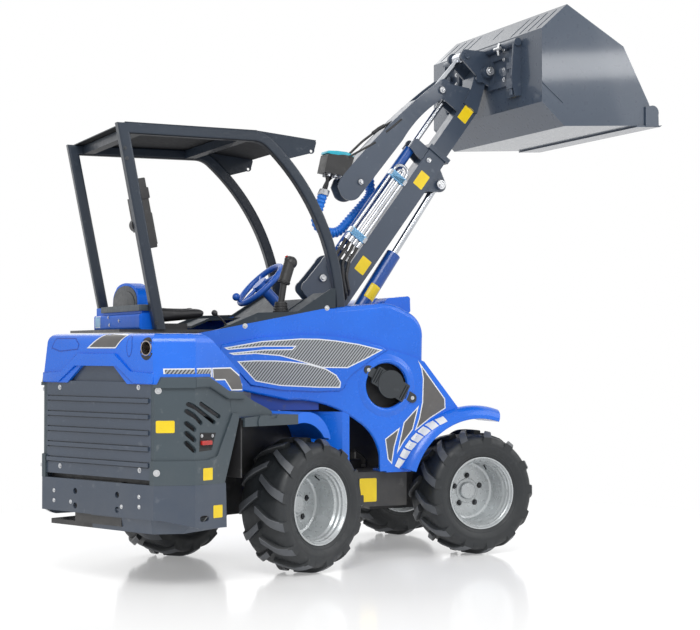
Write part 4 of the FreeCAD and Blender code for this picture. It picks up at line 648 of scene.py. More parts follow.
# ---------------------------------------------------------------- stickers
trees = {}


def surface_of(name):
    """Search tree of a CAD node, or of a piece by its name."""
    if name not in trees:
        mesh = (nodes[name] if name in nodes else bpy.data.objects[name]).data
        corners = [v.co.copy() for v in mesh.vertices]
        trees[name] = BVHTree.FromPolygons(corners, [p.vertices[:] for p in mesh.polygons])
    return trees[name]


def cut_up(bm, step):
    """Cuts a flat face into cells no wider than step, so that it can follow a bent surface."""
    for axis in (0, 1):
        values = [v.co[axis] for v in bm.verts]
        cut = min(values) + step
        while cut < max(values):
            at, normal = [0, 0, 0], [0, 0, 0]
            at[axis], normal[axis] = cut, 1
            geometry = bm.verts[:] + bm.edges[:] + bm.faces[:]
            bmesh.ops.bisect_plane(bm, geom=geometry, plane_co=at, plane_no=normal)
            cut += step


def sticker(name, body, on, outline, place, material, slot="grey_shell", border=0.0, lift=0.7, step=14.0,
            edge=None):
    """Thin skin on the CAD surface. outline is (u, v) points; place(u, v) gives a start point clear of the
    surface and the direction that looks at it. The border, if any, takes the edge material."""
    bm = bmesh.new()
    face = bm.faces.new([bm.verts.new((u, v, 0)) for u, v in outline])
    bm.normal_update()
    if border:
        bmesh.ops.inset_individual(bm, faces=[face], thickness=border, use_even_offset=True)
        for other in bm.faces:
            other.material_index = 0 if other == face else 1
    bmesh.ops.triangulate(bm, faces=[f for f in bm.faces if len(f.verts) > 4], ngon_method="BEAUTY")
    cut_up(bm, step)
    lost = []
    looking = Vector()
    for vert in bm.verts:
        start, look = place(vert.co.x, vert.co.y)
        hits = [h for h in (surface_of(n).ray_cast(start, look) for n in on) if h[0] is not None]
        if not hits:
            lost.append(vert)
            continue
        looking = look
        vert.co = min(hits, key=lambda h: h[3])[0] - look * lift * MM
    bmesh.ops.delete(bm, geom=lost, context="VERTS")
    bm.normal_update()
    total = sum((f.normal * f.calc_area() for f in bm.faces), Vector())
    if total.dot(looking) > 0:
        bmesh.ops.reverse_faces(bm, faces=bm.faces[:])
    mesh = bpy.data.meshes.new(name)
    bm.to_mesh(mesh)
    bm.free()
    mesh.materials.append(material)
    if border:
        mesh.materials.append(edge or sticker_white)
    mesh.shade_smooth()
    return piece(name, mesh, body, slot)


def label(name, body, on, box, place, slot="grey_shell", corner=4, **how):
    """Blank yellow label with rounded corners; box is its lowest and highest u, then v."""
    return sticker(name, body, [on], rounded(*box, corner), place, safety_yellow, slot, **how)


def on_side(hand):
    """Places (x, z) on the front body's side, looking square at it; hand is -1 on the right."""
    return lambda x, z: (front(x, hand * BESIDE_FRONT, z), Vector((0, -hand, 0)))


def on_tail(y, z):
    """Start point behind the tail, and the way that looks forward at it."""
    return rear(BEHIND_TAIL, y, z), REAR_TURN @ AHEAD


def on_rear_side(hand):
    """Places (x, z) on the rear body's side, looking square at it."""
    return lambda x, z: (rear(x, hand * BESIDE_REAR, z), REAR_TURN @ Vector((0, -hand, 0)))


def on_boom_side(hand):
    """Places (along, up) on the boom's side, looking square at it."""
    return lambda along, up: (boom(along, up, hand * BESIDE_BOOM), Vector((0, -hand, 0)))


def rounded(u0, u1, v0, v1, r):
    """Rectangle with rounded corners."""
    points = []
    for cu, cv, start in (
        (u1 - r, v1 - r, 0), (u0 + r, v1 - r, 90), (u0 + r, v0 + r, 180), (u1 - r, v0 + r, 270),
    ):
        for k in range(4):
            a = math.radians(start + 30 * k)
            points.append((cu + r * math.cos(a), cv + r * math.sin(a)))
    return points


def ellipse(u, v, wide, tall, count):
    """Ellipse about (u, v) with those half widths."""
    angles = [2 * math.pi * i / count for i in range(count)]
    return [(u + wide * math.cos(a), v + tall * math.sin(a)) for a in angles]


def front_stickers():
    """Two hatched flashes and three plain blades on each side of the front body, and the wing's dashes."""
    upper = [(-768, 962), (-745, 953), (-640, 958), (-520, 948), (-430, 925), (-312, 893), (-183, 891),
             (-95, 930), (-3, 975), (-127, 1003), (-240, 1019), (-330, 1027), (-420, 1028), (-610, 1016),
             (-790, 986), (-772, 976), (-600, 990), (-450, 990), (-460, 980), (-600, 978)]
    lower = [(-728, 925), (-640, 929), (-540, 928), (-468, 923), (-377, 911), (-292, 889), (-240, 860),
             (-217, 826), (-221, 800), (-330, 802), (-520, 812), (-640, 834)]
    lance = [(185, 926), (330, 742), (332, 696), (250, 650), (168, 592), (190, 650), (207, 727), (211, 838),
             (203, 885)]
    blade = [(190, 712), (110, 634), (73, 486), (112, 545), (158, 598)]
    fin = [(90, 611), (12, 558), (26, 462), (48, 438), (62, 520)]
    for hand, side in HANDS:
        on = [f"side_swell_{side}", f"side_panel_{side}", f"shoulder_{side}"]
        for name, outline, material in (
            ("upper", upper, sticker_hatch), ("lower", lower, sticker_hatch), ("lance", lance, sticker_grey),
            ("blade", blade, sticker_grey), ("fin", fin, sticker_grey),
        ):
            sticker(f"{name}_sticker_{side}", "front_chassis", on, outline, on_side(hand), material,
                    border=WHITE_EDGE)
        dashes(hand, side)


def dashes(hand, side):
    """White dashes that follow the front wing's edge."""
    route = [(72, 420), (96, 466), (122, 508), (152, 545), (186, 578), (224, 606), (266, 630), (312, 650)]
    half, gap = 13, 4.0
    for i, (start, end) in enumerate(zip(route, route[1:])):
        a, b = Vector(start), Vector(end)
        way = (b - a).normalized()
        out = Vector((-way.y, way.x)) * half
        a, b = a + way * gap, b - way * gap
        sticker(f"wing_dash_{side}_{i + 1}", "front_chassis", [f"side_panel_{side}"],
                [a - out, b - out, b + out, a + out], on_side(hand), sticker_white, lift=2.2, step=3.5)


def rear_stickers():
    """Dark plate and side flashes of the hood, and the blank yellow labels of the tail."""
    sticker("tail_plate", "rear_chassis", ["hood"], [(-32, 1050), (-177, 1042), (-115, 984), (71, 984)],
            on_tail, sticker_grey, border=WHITE_EDGE, lift=1.6, step=6.0)
    hatched = [(-1534, 902), (-1345, 904), (-1345, 852), (-1536, 852)]
    plain = [(-1341, 904), (-1234, 905), (-1180, 868), (-1163, 808), (-1235, 808), (-1272, 852), (-1341, 852)]
    for hand, side in HANDS:
        look = on_rear_side(hand)
        sticker(f"hood_flash_{side}", "rear_chassis", ["hood"], plain, look, sticker_grey, border=WHITE_EDGE)
        sticker(f"hood_flash_tail_{side}", "rear_chassis", ["hood"], hatched, look, sticker_hatch,
                border=WHITE_EDGE)
        label(f"side_label_low_{side}", "rear_chassis", f"side_cover_{side}", (-1399, -1345, 444, 494), look)
        label(f"bumper_label_{side}", "rear_chassis", "bumper", (-1340, -1288, 286, 338), look)
    label("corner_label_right", "rear_chassis", "side_cover_right", (-412, -362, 640, 690), on_tail)
    label("corner_label_left", "rear_chassis", "side_cover_left", (362, 412, 620, 670), on_tail)


def boom_stickers():
    """Blank yellow labels on the boom's two stages, on the lift barrel and on the frame."""
    for hand, side in HANDS:
        for name, part, box in (
            ("boom_label", "outer_boom", (952, 1034, -32, 26)),
            ("boom_foot_label", "outer_boom", (408, 490, -34, 24)),
            ("arm_label", "inner_boom", (1384, 1464, -28, 28)),
        ):
            label(f"{name}_{side}", part, part, box, on_boom_side(hand), "graphite_paint")
    foot = front(*LIFT_FOOT)
    along = (boom(*LIFT_EYE, 0) - foot).normalized()
    square = along.cross(LEFT)

    def on_barrel(a, u):
        return foot + (along * a + square * u) * MM - LEFT * BESIDE_BOOM * MM, LEFT

    label("cylinder_label", "lift_barrel", "lift_barrel", (606, 686, -28, 28), on_barrel, "graphite_paint",
          lift=1.6, step=4.0)
    label("frame_label", "front_chassis", "front_frame", (-96, -8, 262, 372), on_side(-1), corner=6)


# ---------------------------------------------------------------- wheels
def lug_mesh(hand, turn):
    """One tread bar about the wheel's middle: it leans back from the middle and runs down over the shoulder.
    It is drawn in rings from its inner to its outer end, each with a broad foot and a broken top edge."""
    start, knee, shoulder = -6, 0.56, 0.5
    bm = bmesh.new()
    rings = []
    for t in [i / 10 for i in range(11)]:
        across = start + t * (TYRE_HALF - 1 - start)
        lean = -10.0 * (t / knee) if t < knee else -10.0 - 6.0 * (t - knee) / (1 - knee)
        top = TYRE_R if t < shoulder else TYRE_R - 30 * ((t - shoulder) / (1 - shoulder)) ** 1.7
        half = 2.9 + 1.7 * t * t                                  # half its width, in degrees
        section = [(half + 1.0, 33), (half + 0.5, 12), (half + 0.1, 3), (half - 0.45, 0)]
        ring = []
        for wide, drop in section + [(-wide, drop) for wide, drop in reversed(section)]:
            a = math.radians(turn + lean + wide)
            r = top - drop
            ring.append(bm.verts.new(Vector((-r * math.cos(a), hand * across, r * math.sin(a))) * MM))
        rings.append(ring)
    for low, high in zip(rings, rings[1:]):
        for k in range(8):
            bm.faces.new((low[k], low[(k + 1) % 8], high[(k + 1) % 8], high[k]))
    bm.faces.new(rings[0])
    bm.faces.new(list(reversed(rings[-1])))
    return mesh_of(bm, "lug")


def tyre_mesh(name):
    """Round carcass with ringed walls, and bars on both sides set half a pitch apart."""
    tread = TYRE_R - 21
    wall = [(168, 103), (170, 108), (176, 112), (184, 116), (187, 119), (190, 119), (193, 121), (212, 130),
            (222, 130.6), (226, 129.4), (230, 130.4), (244, 128), (256, 122), (266, 110), (272, 92),
            (tread, 61), (tread + 0.8, 30)]
    profile = [(r, -w) for r, w in wall] + [(tread + 1, 0)] + [(r, w) for r, w in reversed(wall)]
    bm = bmesh.new()
    lathe_into(bm, profile, Vector(), LEFT, AHEAD, 96, closed=True)
    carcass = len(bm.faces)
    pitch = 360 / LUGS
    for hand in (-1, 1):
        bar = lug_mesh(hand, pitch / 2 if hand > 0 else 0.0)
        turn = (0, math.radians(pitch), 0)
        bm.from_mesh(grown("bars", bar, repeat_shape, tyre_rubber, Count=LUGS, Turn=turn))
    mesh = bpy.data.meshes.new(name)
    bmesh.ops.recalc_face_normals(bm, faces=bm.faces)
    bm.faces.ensure_lookup_table()
    # painted highlight: the bars' outward faces take the lighter rubber
    for face in bm.faces[carcass:]:
        middle = face.calc_center_median()
        outwards = Vector((middle.x, 0, middle.z)).normalized()
        face.material_index = 1 if face.normal.dot(outwards) > 0.55 else 0      # tops of the bars, painted lighter as highlight
    bm.to_mesh(mesh)
    bm.free()
    mesh.materials.append(tyre_rubber)
    mesh.materials.append(painted_lit_tread)
    return shaded(mesh, 40)


def wheel_trim(name, hand):
    """Nuts in round recesses, hub cap ring and valve, about the wheel's middle with its face outwards."""
    bm = bmesh.new()
    out = Vector((0, hand, 0))
    disc = out * (RIM_DISC * MM)
    pitch = 360 / NUTS
    for i in range(NUTS):
        a = math.radians(90 + pitch * i)
        radial = Vector((math.cos(a), 0, math.sin(a)))
        at = radial * NUT_CIRCLE * MM + disc
        recess = [(RECESS_R, -1), (RECESS_R, 0.7), (0, 0.7)]
        ring = [(RECESS_R + 4, -0.5), (17, 1.6), (15.5, 2.6), (14, 2.2), (13.4, 0.2)]
        nut = [(9.5, 0.5), (9.5, 7), (8, 8.8), (4.6, 8.8)]
        stud = [(4.6, 6), (4.4, 14), (3.4, 15), (0, 15)]
        for profile, segments in ((recess, 24), (ring, 32), (nut, 6), (stud, 12)):
            lathe_into(bm, profile, at, out, radial, segments)
    cap = [(40.6, 1), (40.6, 14), (38, 18.4), (33, 19.4), (31.5, 20.2), (29, 20.2), (28, 19.2), (0, 20.6)]
    lathe_into(bm, cap, disc, out, AHEAD, 40)
    way = Vector((math.cos(VALVE_ANGLE), 0, math.sin(VALVE_ANGLE)))
    valve = [(0, -2), (5, -2), (5, 8), (3.5, 9), (3.5, 24), (4.2, 25), (4.2, 33), (3, 35), (0, 35)]
    lathe_into(bm, valve, way * 136 * MM + out * 20 * MM, out - way * 0.5, Vector((0, 0.3, 1)), 14)
    mesh = mesh_of(bm, name, dark_steel, painted_shade_dark, rim_silver)
    for polygon in mesh.polygons:
        centre = polygon.center / MM
        from_hub = math.hypot(centre.x, centre.z)
        past_nut = math.degrees(math.atan2(centre.z, centre.x)) % pitch - 90 % pitch
        from_nut = math.hypot(from_hub - NUT_CIRCLE, math.radians(past_nut) * NUT_CIRCLE)
        if from_hub < 41.5 or RECESS_R + 0.1 < from_nut < 20:
            polygon.material_index = 2                            # hub cap and rings
        elif from_nut < RECESS_R + 0.1 and abs(centre.y * hand - RIM_DISC - 0.7) < 0.3:
            polygon.material_index = 1                            # floor of the recess, painted dark as shade
    return mesh


def wheels():
    """Tyre and trim of each wheel, placed on its axle."""
    for end, x in AXLES.items():
        for hand, side in HANDS:
            axle = REAR if end == "rear" else FRONT
            place = axle @ Matrix.Translation(Vector((x, hand * TRACK_HALF, TYRE_R)) * MM)
            wheel = f"{end}_{side}"
            skin = tyre_mesh(f"{wheel}_tyre_skin")
            skin.transform(place)
            piece(f"{wheel}_tyre_skin", skin, f"{wheel}_wheel", "tyre", f"{wheel}_tyre")
            trim = wheel_trim(f"{wheel}_wheel_trim", hand)
            trim.transform(place)
            piece(f"{wheel}_wheel_trim", trim, f"{wheel}_wheel", "rim_silver")


# ---------------------------------------------------------------- bolts and small fittings
def tail_spots(on, spots):
    """Spots on the tail, and the way that its surface faces there."""
    found = []
    for spot in spots:
        start, look = on_tail(*spot)
        at, facing, _, _ = surface_of(on).ray_cast(start, look)
        if at is not None:
            found.append((at, -facing if facing.dot(look) > 0 else facing))
    return found


def body_bolts():
    """Bolts of the tail's plates, the vent covers, the console and the roof frame."""
    bumper_spots = [(278, 372), (278, 329), (-274, 377), (-275, 336), (165, 330), (-165, 330)]
    for name, on, spots, size in (
        ("grille_bolts", "radiator_grille", [(249, 816), (-261, 824), (246, 478), (-269, 485)], (7, 5, 11)),
        ("corner_bolts_right", "side_cover_right", [(-368, 812), (-370, 478)], (9, 7, 14)),
        ("corner_bolts_left", "side_cover_left", [(368, 806), (370, 478)], (9, 7, 14)),
        ("bumper_bolts", "bumper", bumper_spots, (6, 4, 9)),
    ):
        bolts(name, "rear_chassis", tail_spots(on, spots), *size)
    for hand, side in HANDS:
        ears = [(front(x, hand * (BODY_HALF + 8), z), Vector((0, hand, 0))) for x, z in VENT_EARS]
        bolts(f"vent_bolts_{side}", "front_chassis", ears, 6, 4, 9)
    console = [(front(x, -440, z), -LEFT) for x, z in ((-280, 1169), (-684, 1084))]
    bolts("console_bolts", "front_chassis", console, 8, 5, 12)
    roof = [(front(*at), -LEFT) for at in ((-1250, -455, 1860), (-1241, -455, 1816), (-1101, -448, 1096))]
    bolts("roof_bolts", "front_chassis", roof, 6, 4, 9, material=dark_steel)


def pin_caps():
    """Pin ends with their washers and keeper bolts on the boom's joints."""
    for name, body, at, y, radius in (
        ("tool_pin", "tool", TOOL_PIN, 124, 22), ("arm_pin", "inner_boom", ARM_PIN, 57, 16),
        ("arm_heel_pin", "inner_boom", HEEL_PIN, 53, 14), ("lift_pin", "outer_boom", LIFT_EYE, 62, 24),
        ("foot_pin", "outer_boom", FOOT_PIN, 52, 18), ("collar_pin", "outer_boom", COLLAR_PIN, 52, 13),
    ):
        profile = [(0, -4), (radius, -4), (radius, 3), (radius - 2, 5), (radius * 0.62, 5),
                   (radius * 0.6, 10), (radius * 0.5, 12), (0, 12)]
        bm = bmesh.new()
        for hand in (-1, 1):
            lathe_into(bm, profile, boom(*at, hand * y), Vector((0, hand, 0)), AHEAD, 32)
        finished(bm, f"{name}_caps", zinc, body, "chrome_rod")


def arm_trim():
    """Ferrule of the thin hose, and the dark strips along the tilt arm's upper edge."""
    bm = bmesh.new()
    tube_into(bm, [boom(1020, 337, -20), boom(1060, 325, -20), boom(1092, 311, -20)], 9.5, 16)
    for start, end in (((833, 374), (983, 306)), ((1062, 292), (1169, 264))):
        tube_into(bm, [boom(*start, -44), boom(*end, -44)], 5.5, 12)
    finished(bm, "arm_trim", rubber, "inner_boom", "black_rubber")


def carrier_trim():
    """Bolts and locking levers on the back of the tool carrier."""
    spots = [(front(769, y, z), -AHEAD) for y in (-252, 252) for z in (2478, 2430, 2380, 2330)]
    bolts("carrier_bolts", "tool", spots, 7, 6, 11)
    bm = bmesh.new()
    for hand in (-1, 1):
        tube_into(bm, [front(x, hand * 236, z) for x, z in ((748, 2452), (742, 2486), (752, 2512))], 7, 14)
        tube_into(bm, [front(742, hand * y, 2484) for y in (205, 262)], 9, 16)
    finished(bm, "carrier_locks", zinc, "tool", "chrome_rod")


def bucket_welds():
    """Weld bead where each side plate folds over the bucket's back."""
    bm = bmesh.new()
    for hand in (-1, 1):
        tube_into(bm, [front(x, hand * 571, z) for x, z in ((800, 2270), (856, 2227), (916, 2180))], 3.5, 10)
    finished(bm, "bucket_welds", bucket_paint, "tool", "graphite_paint")


def pipe_trim():
    """Light-blue clamps over the chrome pipes, and a hex fitting at each pipe's lower end."""
    bm = bmesh.new()
    for low, high in ((534, 570), (901, 937)):
        prism_into(bm, rounded(60, 159, -60, -32, 9), lambda u, y, a: boom(a, u, y), low, high, 2.5)
    finished(bm, "pipe_clamps", light_blue, "outer_boom", "blue_paint")
    bm = bmesh.new()
    along = (boom(1, 0, 0) - boom(0, 0, 0)).normalized()
    for up in PIPE_UP:
        foot = boom(0, up, PIPE_Y)
        lathe_into(bm, [(0, 438), (9.5, 438), (10.5, 441), (10.5, 452), (9.5, 454)], foot, along, LEFT, 20)
        lathe_into(bm, [(9.5, 454), (12.2, 455), (12.2, 472), (9.5, 474), (0, 474)], foot, along, LEFT, 6)
    finished(bm, "pipe_fittings", zinc, "outer_boom", "chrome_rod")


def guard_path():
    """Middle line of the spiral guard, its corners rounded."""
    corners = [(-1020, 362, 14), (-1189, 292, 48), (-1137, 158, 80), (-857, 128, 80), (-790, 190, 80),
               (-760, 235, 62)]
    return fillet([from_head(*corner) for corner in corners], (66, 88, 60, 30))


def fillet(corners, radii, steps=10):
    """Points along the corners, each inner one rounded to its radius or as far as its neighbours let it."""
    points = [corners[0]]
    for i, radius in enumerate(radii):
        a, b, c = corners[i:i + 3]
        one, two = (a - b).normalized(), (c - b).normalized()
        half = one.angle(two) / 2
        reach = min(radius * MM / math.tan(half), 0.48 * min((a - b).length, (c - b).length))
        radius_used = reach * math.tan(half)
        centre = b + (one + two).normalized() * (radius_used / math.sin(half))
        start, end = b + one * reach - centre, b + two * reach - centre
        for k in range(steps + 1):
            points.append(centre + start.slerp(end, k / steps).normalized() * radius_used)
    points.append(corners[-1])
    return points


def spiral_guard():
    """Ribbed guard round the coupler's hoses, with a collar at each end."""
    route = guard_path()
    seed = bpy.data.meshes.new("guard_route")
    seed.from_pydata(route, [(i, i + 1) for i in range(len(route) - 1)], [])
    mesh = grown("spiral_guard", seed, ribbed_hose, hose_blue,
                 **{"Radius": 26 * MM, "Rib Depth": 4.5 * MM, "Pitch": 19 * MM})
    piece("spiral_guard", shaded(mesh, 60), "inner_boom", "hose_blue", "hose_guard")
    bm = bmesh.new()
    for profile, end, inner in (
        ([(27.5, -26), (29, -24), (29, 0), (27, 3), (24, 3)], route[0], route[2]),
        ([(27.5, -24), (29, -22), (29, -2), (27, 0), (24, 0)], route[-1], route[-3]),
    ):
        lathe_into(bm, profile, end, (end - inner).normalized(), LEFT, 32)
    finished(bm, "guard_collars", zinc, "inner_boom", "chrome_rod")


def coupler():
    """Cyan top with its raised lever, and the rows of couplings that the black hoses leave from."""
    top = [(-812, 354), (-826, 388), (-850, 421), (-874, 460), (-880, 474), (-868, 478), (-836, 436),
           (-810, 396), (-800, 358)]
    bm = bmesh.new()
    prism_into(bm, top, from_head, -44, 44, 3)
    finished(bm, "coupler_cover", cyan_cover, "inner_boom", "coupler_paint")
    back = (from_head(-966, 433, 0) - from_head(-905, 322, 0)).cross(LEFT).normalized()
    port = [(0, -4), (12, -4), (12, 3), (9.5, 5), (9.5, 13), (8, 15), (0, 15)]
    bm = bmesh.new()
    for along, up in ((-917, 345), (-933, 374), (-950, 404)):
        for y in (-26, 2, 30):
            lathe_into(bm, port, from_head(along, up, y), back, LEFT, 18)
    finished(bm, "coupler_ports", zinc, "inner_boom", "chrome_rod")


# ---------------------------------------------------------------- body panels
def paint_well_shade(mesh, middle):
    """The well behind the round opening is painted dark as shade; its rolled rim keeps the body's colour."""
    for polygon in mesh.polygons:
        centre = polygon.center - middle
        if math.hypot(centre.x, centre.z) < 106.5 * MM or abs(centre.y) < 434 * MM:
            polygon.material_index = 1
    return mesh


def side_swells():
    """Raised tongue that carries the side stickers, and the rolled rim of the round opening."""
    tongue = [(-812, 958), (-800, 1000), (-610, 1032), (-420, 1044), (-330, 1043), (-240, 1036), (-127, 1020),
              (-10, 994), (26, 974), (-60, 930), (-160, 872), (-190, 842), (-196, 800), (-226, 784),
              (-330, 785), (-520, 795), (-662, 814), (-752, 912)]
    rim = [(107, -16), (107, 2), (110, 6), (116, 8.5), (124, 7.5), (134, 3.5), (146, 0.4), (150, -2)]
    well = [(0, -54), (106, -54), (108.5, -51), (108.5, -8), (105, -8), (105, -48), (0, -48)]
    rise = 7
    vent_x, vent_z = VENT_AT
    for hand, side in HANDS:
        bm = bmesh.new()
        prism_into(bm, tongue, lambda x, z, w: front(x, hand * (BODY_HALF + w), z), -12, rise, 0)
        crest = (BODY_HALF + rise) * MM
        edges = [e for e in bm.edges if all(abs(abs(v.co.y - PIVOT.y) - crest) < 1e-5 for v in e.verts)]
        bmesh.ops.bevel(bm, geom=edges, offset=6 * MM, segments=4, affect="EDGES", profile=0.5)
        finished(bm, f"side_swell_{side}", blue_shell, "front_chassis", "blue_shell")
        bm = bmesh.new()
        for profile in (rim, well):
            lathe_into(bm, profile, front(vent_x, hand * BODY_HALF, vent_z), Vector((0, hand, 0)), AHEAD, 64)
        # the well inside the rim takes the painted shade
        mesh = paint_well_shade(mesh_of(bm, f"vent_rim_{side}", blue_shell, painted_shade_dark), front(vent_x, 0, vent_z))
        piece(f"vent_rim_{side}", mesh, "front_chassis", "blue_shell")


def hood_trim():
    """Rolled lower band, recess outlines drawn as darker blue borders of painted shade, and the exhaust's
    dark surround on the hood's tail.
    """
    band = [(356, 840), (356, 880), (231, 880), (125, 962), (-117, 963), (-217, 886), (-356, 885),
            (-356, 840), (-233, 840), (-134, 914), (141, 914), (245, 840)]
    bm = bmesh.new()
    prism_into(bm, band, across_tail, TAIL_X + 7, TAIL_X - 5, 3.5)
    finished(bm, "hood_band", blue_shell, "rear_chassis", "blue_shell")
    recess = [(284, 1029), (153, 1028), (123, 1003), (130, 978), (250, 969), (311, 984)]
    oval = ellipse(-201, 992, 18, 44, 24)
    # the borders are painted shade of grooves round flat recesses
    for name, outline, border in (("hood_recess", recess, 5.0), ("hood_oval", oval, 4.0)):
        sticker(name, "rear_chassis", ["hood"], outline, on_tail, blue_shell, "blue_shell", border,
                edge=painted_groove_shade)
    sticker("exhaust_surround", "rear_chassis", ["hood"], ellipse(-308, 983, 40, 47, 32), on_tail, rubber,
            "black_rubber")


def tail_guard():
    """Folded guard under the bumper, the dark plate behind the grille, and the liners of the rear arches."""
    upper = [(-1564, 46, 320), (-1564, -336, 320), (-1448, -452, 262), (-1290, -466, 250)]
    lower = [(-1547, 46, 226), (-1547, -332, 226), (-1450, -412, 226), (-1290, -458, 240)]
    bm = bmesh.new()
    rows = [[bm.verts.new(rear(*p)) for p in row] for row in (upper, lower)]
    for i in range(3):
        bm.faces.new((rows[0][i], rows[0][i + 1], rows[1][i + 1], rows[1][i]))
    bmesh.ops.recalc_face_normals(bm, faces=bm.faces)
    bmesh.ops.solidify(bm, geom=bm.faces[:], thickness=5 * MM)
    bmesh.ops.bevel(bm, geom=bm.edges[:], offset=1.2 * MM, segments=2, affect="EDGES")
    finished(bm, "tail_guard", graphite, "rear_chassis", "graphite_paint")
    bm = bmesh.new()
    prism_into(bm, rounded(-334, 334, 380, 470, 4), across_tail, TAIL_X + 31, TAIL_X + 39)
    finished(bm, "tail_backing", black_paint, "rear_chassis", "black_paint")
    bm = bmesh.new()
    inner, outer, liner = 246, 462, 8
    back, ahead, top = -1172, -640, 690
    for hand in (-1, 1):
        y0, y1 = sorted((hand * inner, hand * outer))
        prism_into(bm, [(y0, 440), (y1, 440), (y1, top), (y0, top)], across_tail, back, back + liner)
        wall = [(back + 6, 430), (ahead, 430), (ahead, top), (back + 6, top)]
        prism_into(bm, wall, along_rear, hand * inner, hand * (inner + liner))
    finished(bm, "arch_liners", black_paint, "rear_chassis", "black_paint")


def latch():
    """Latch recess on each side cover, a flat sticker painted dark as shade, with its bolts and red
    reflector.
    """
    recess = [(-1409, 640), (-1320, 636), (-1343, 566), (-1414, 562)]
    face = 462
    for hand, side in HANDS:
        # painted shade: the recess is a flat dark sticker on the cover
        sticker(f"latch_recess_{side}", "rear_chassis", [f"side_cover_{side}"], recess, on_rear_side(hand),
                painted_shade_dark, "black_rubber")
        bm = bmesh.new()
        prism_into(bm, rounded(-1404, -1346, 588, 606, 4), along_rear, hand * face, hand * (face + 12), 2.0)
        finished(bm, f"latch_reflector_{side}", lamp_red, "rear_chassis", "grey_shell")
        out = REAR_TURN @ Vector((0, hand, 0))
        spots = [(rear(x, hand * (face + 2), z), out) for x, z in ((-1398, 626), (-1338, 624))]
        bolts(f"latch_bolts_{side}", "rear_chassis", spots, 5, 4, 7)


def small_levers():
    """Thin lever with a ball knob beside the seat."""
    bm = bmesh.new()
    tube_into(bm, [front(-742, -352, 1090), front(-768, -354, 1118), front(-790, -356, 1136)], 4, 12)
    knob = [(0, -14), (8, -12), (13, -5), (14, 2), (11, 10), (5, 14), (0, 15)]
    lathe_into(bm, knob, front(-800, -357, 1143), UP - AHEAD, LEFT, 20)
    finished(bm, "side_lever", rubber, "front_chassis", "black_rubber")


def joystick_trim():
    """Ribs round the lever's rubber boot, the collar above it, and the thumb rest and button on its grip."""
    foot, thumb = front(-466, -330, 1134), front(-414, -330, 1392)
    boot = []
    for i in range(5):
        radius, at = 40 - 2.6 * i, 8 + 12 * i
        boot += [(radius - 5, at - 4.5), (radius, at - 2), (radius + 0.6, at), (radius, at + 2)]
    rest = [(0, -22), (14, -20), (20, -8), (20, 6), (15, 16), (6, 20), (0, 20)]
    collar = [(28, -4), (30, -2), (30, 2), (28, 4)]
    bm = bmesh.new()
    lathe_into(bm, boot + [(22, 64)], foot, UP, AHEAD, 32)
    lathe_into(bm, rest, thumb + Vector((-12, 0, 0)) * MM, Vector((-0.5, 0, 1)), LEFT, 24)
    lathe_into(bm, collar, foot + Vector((16, 0, 156)) * MM, Vector((32, 0, 100)), LEFT, 32)
    finished(bm, "joystick_trim", rubber, "front_chassis", "black_rubber")
    bm = bmesh.new()
    button = thumb + Vector((-24, 0, 18)) * MM
    lathe_into(bm, [(7, -3), (7, 2), (5, 4), (0, 4)], button, Vector((-0.6, 0, 1)), LEFT, 16)
    finished(bm, "joystick_button", lamp_red, "front_chassis", "grey_shell")


def belt_cover():
    """Long black cover of the belt's guide on the front of the right rear post, with its raised housings."""
    low, high = Vector((-1130, 0, 1424)), Vector((-1190, 0, 1730))
    length = (high - low).length
    along = (high - low).normalized()
    across = Vector((along.z, 0, -along.x))
    bm = bmesh.new()
    for start, end, y0, y1, depth in (
        (0.0, 1.0, -446, -410, 34), (0.7, 0.86, -450, -406, 40), (0.04, 0.5, -444, -412, 38),
    ):
        prism_into(bm, rounded(start * length, end * length, 0, depth, 5),
                   lambda s, d, y: front(*(low + along * s + across * d + LEFT * y)), y0, y1, 2.5)
    finished(bm, "belt_cover", rubber, "front_chassis", "black_rubber")


def lamp_lenses():
    """Lens in each work lamp's pocket."""
    for hand, side in HANDS:
        y0, y1 = sorted((hand * 224, hand * (SLOT_HALF + 18)))
        bm = bmesh.new()
        prism_into(bm, rounded(y0, y1, 1170, 1210, 6), across_front, 243, 249, 2.0)
        finished(bm, f"lamp_lens_{side}", lens, "front_chassis", "chrome_rod")


# ---------------------------------------------------------------- seat
def stuffed(obj):
    """The pad's mesh after a short cloth run under pressure, no point moved further than MOST_SWELL."""
    start = [v.co.copy() for v in obj.data.vertices]
    cloth = obj.modifiers.new("stuffing", "CLOTH")
    cloth.settings.use_pressure = True
    cloth.settings.uniform_pressure_force = 4.0
    cloth.settings.effector_weights.gravity = 0.0
    for step in range(1, 21):
        bpy.context.scene.frame_set(step)
    blown = evaluated(obj)
    obj.modifiers.clear()
    bpy.context.scene.frame_set(1)
    for vert, before in zip(blown.vertices, start):
        move = vert.co - before
        if move.length > MOST_SWELL * MM:
            vert.co = before + move.normalized() * MOST_SWELL * MM
    return blown


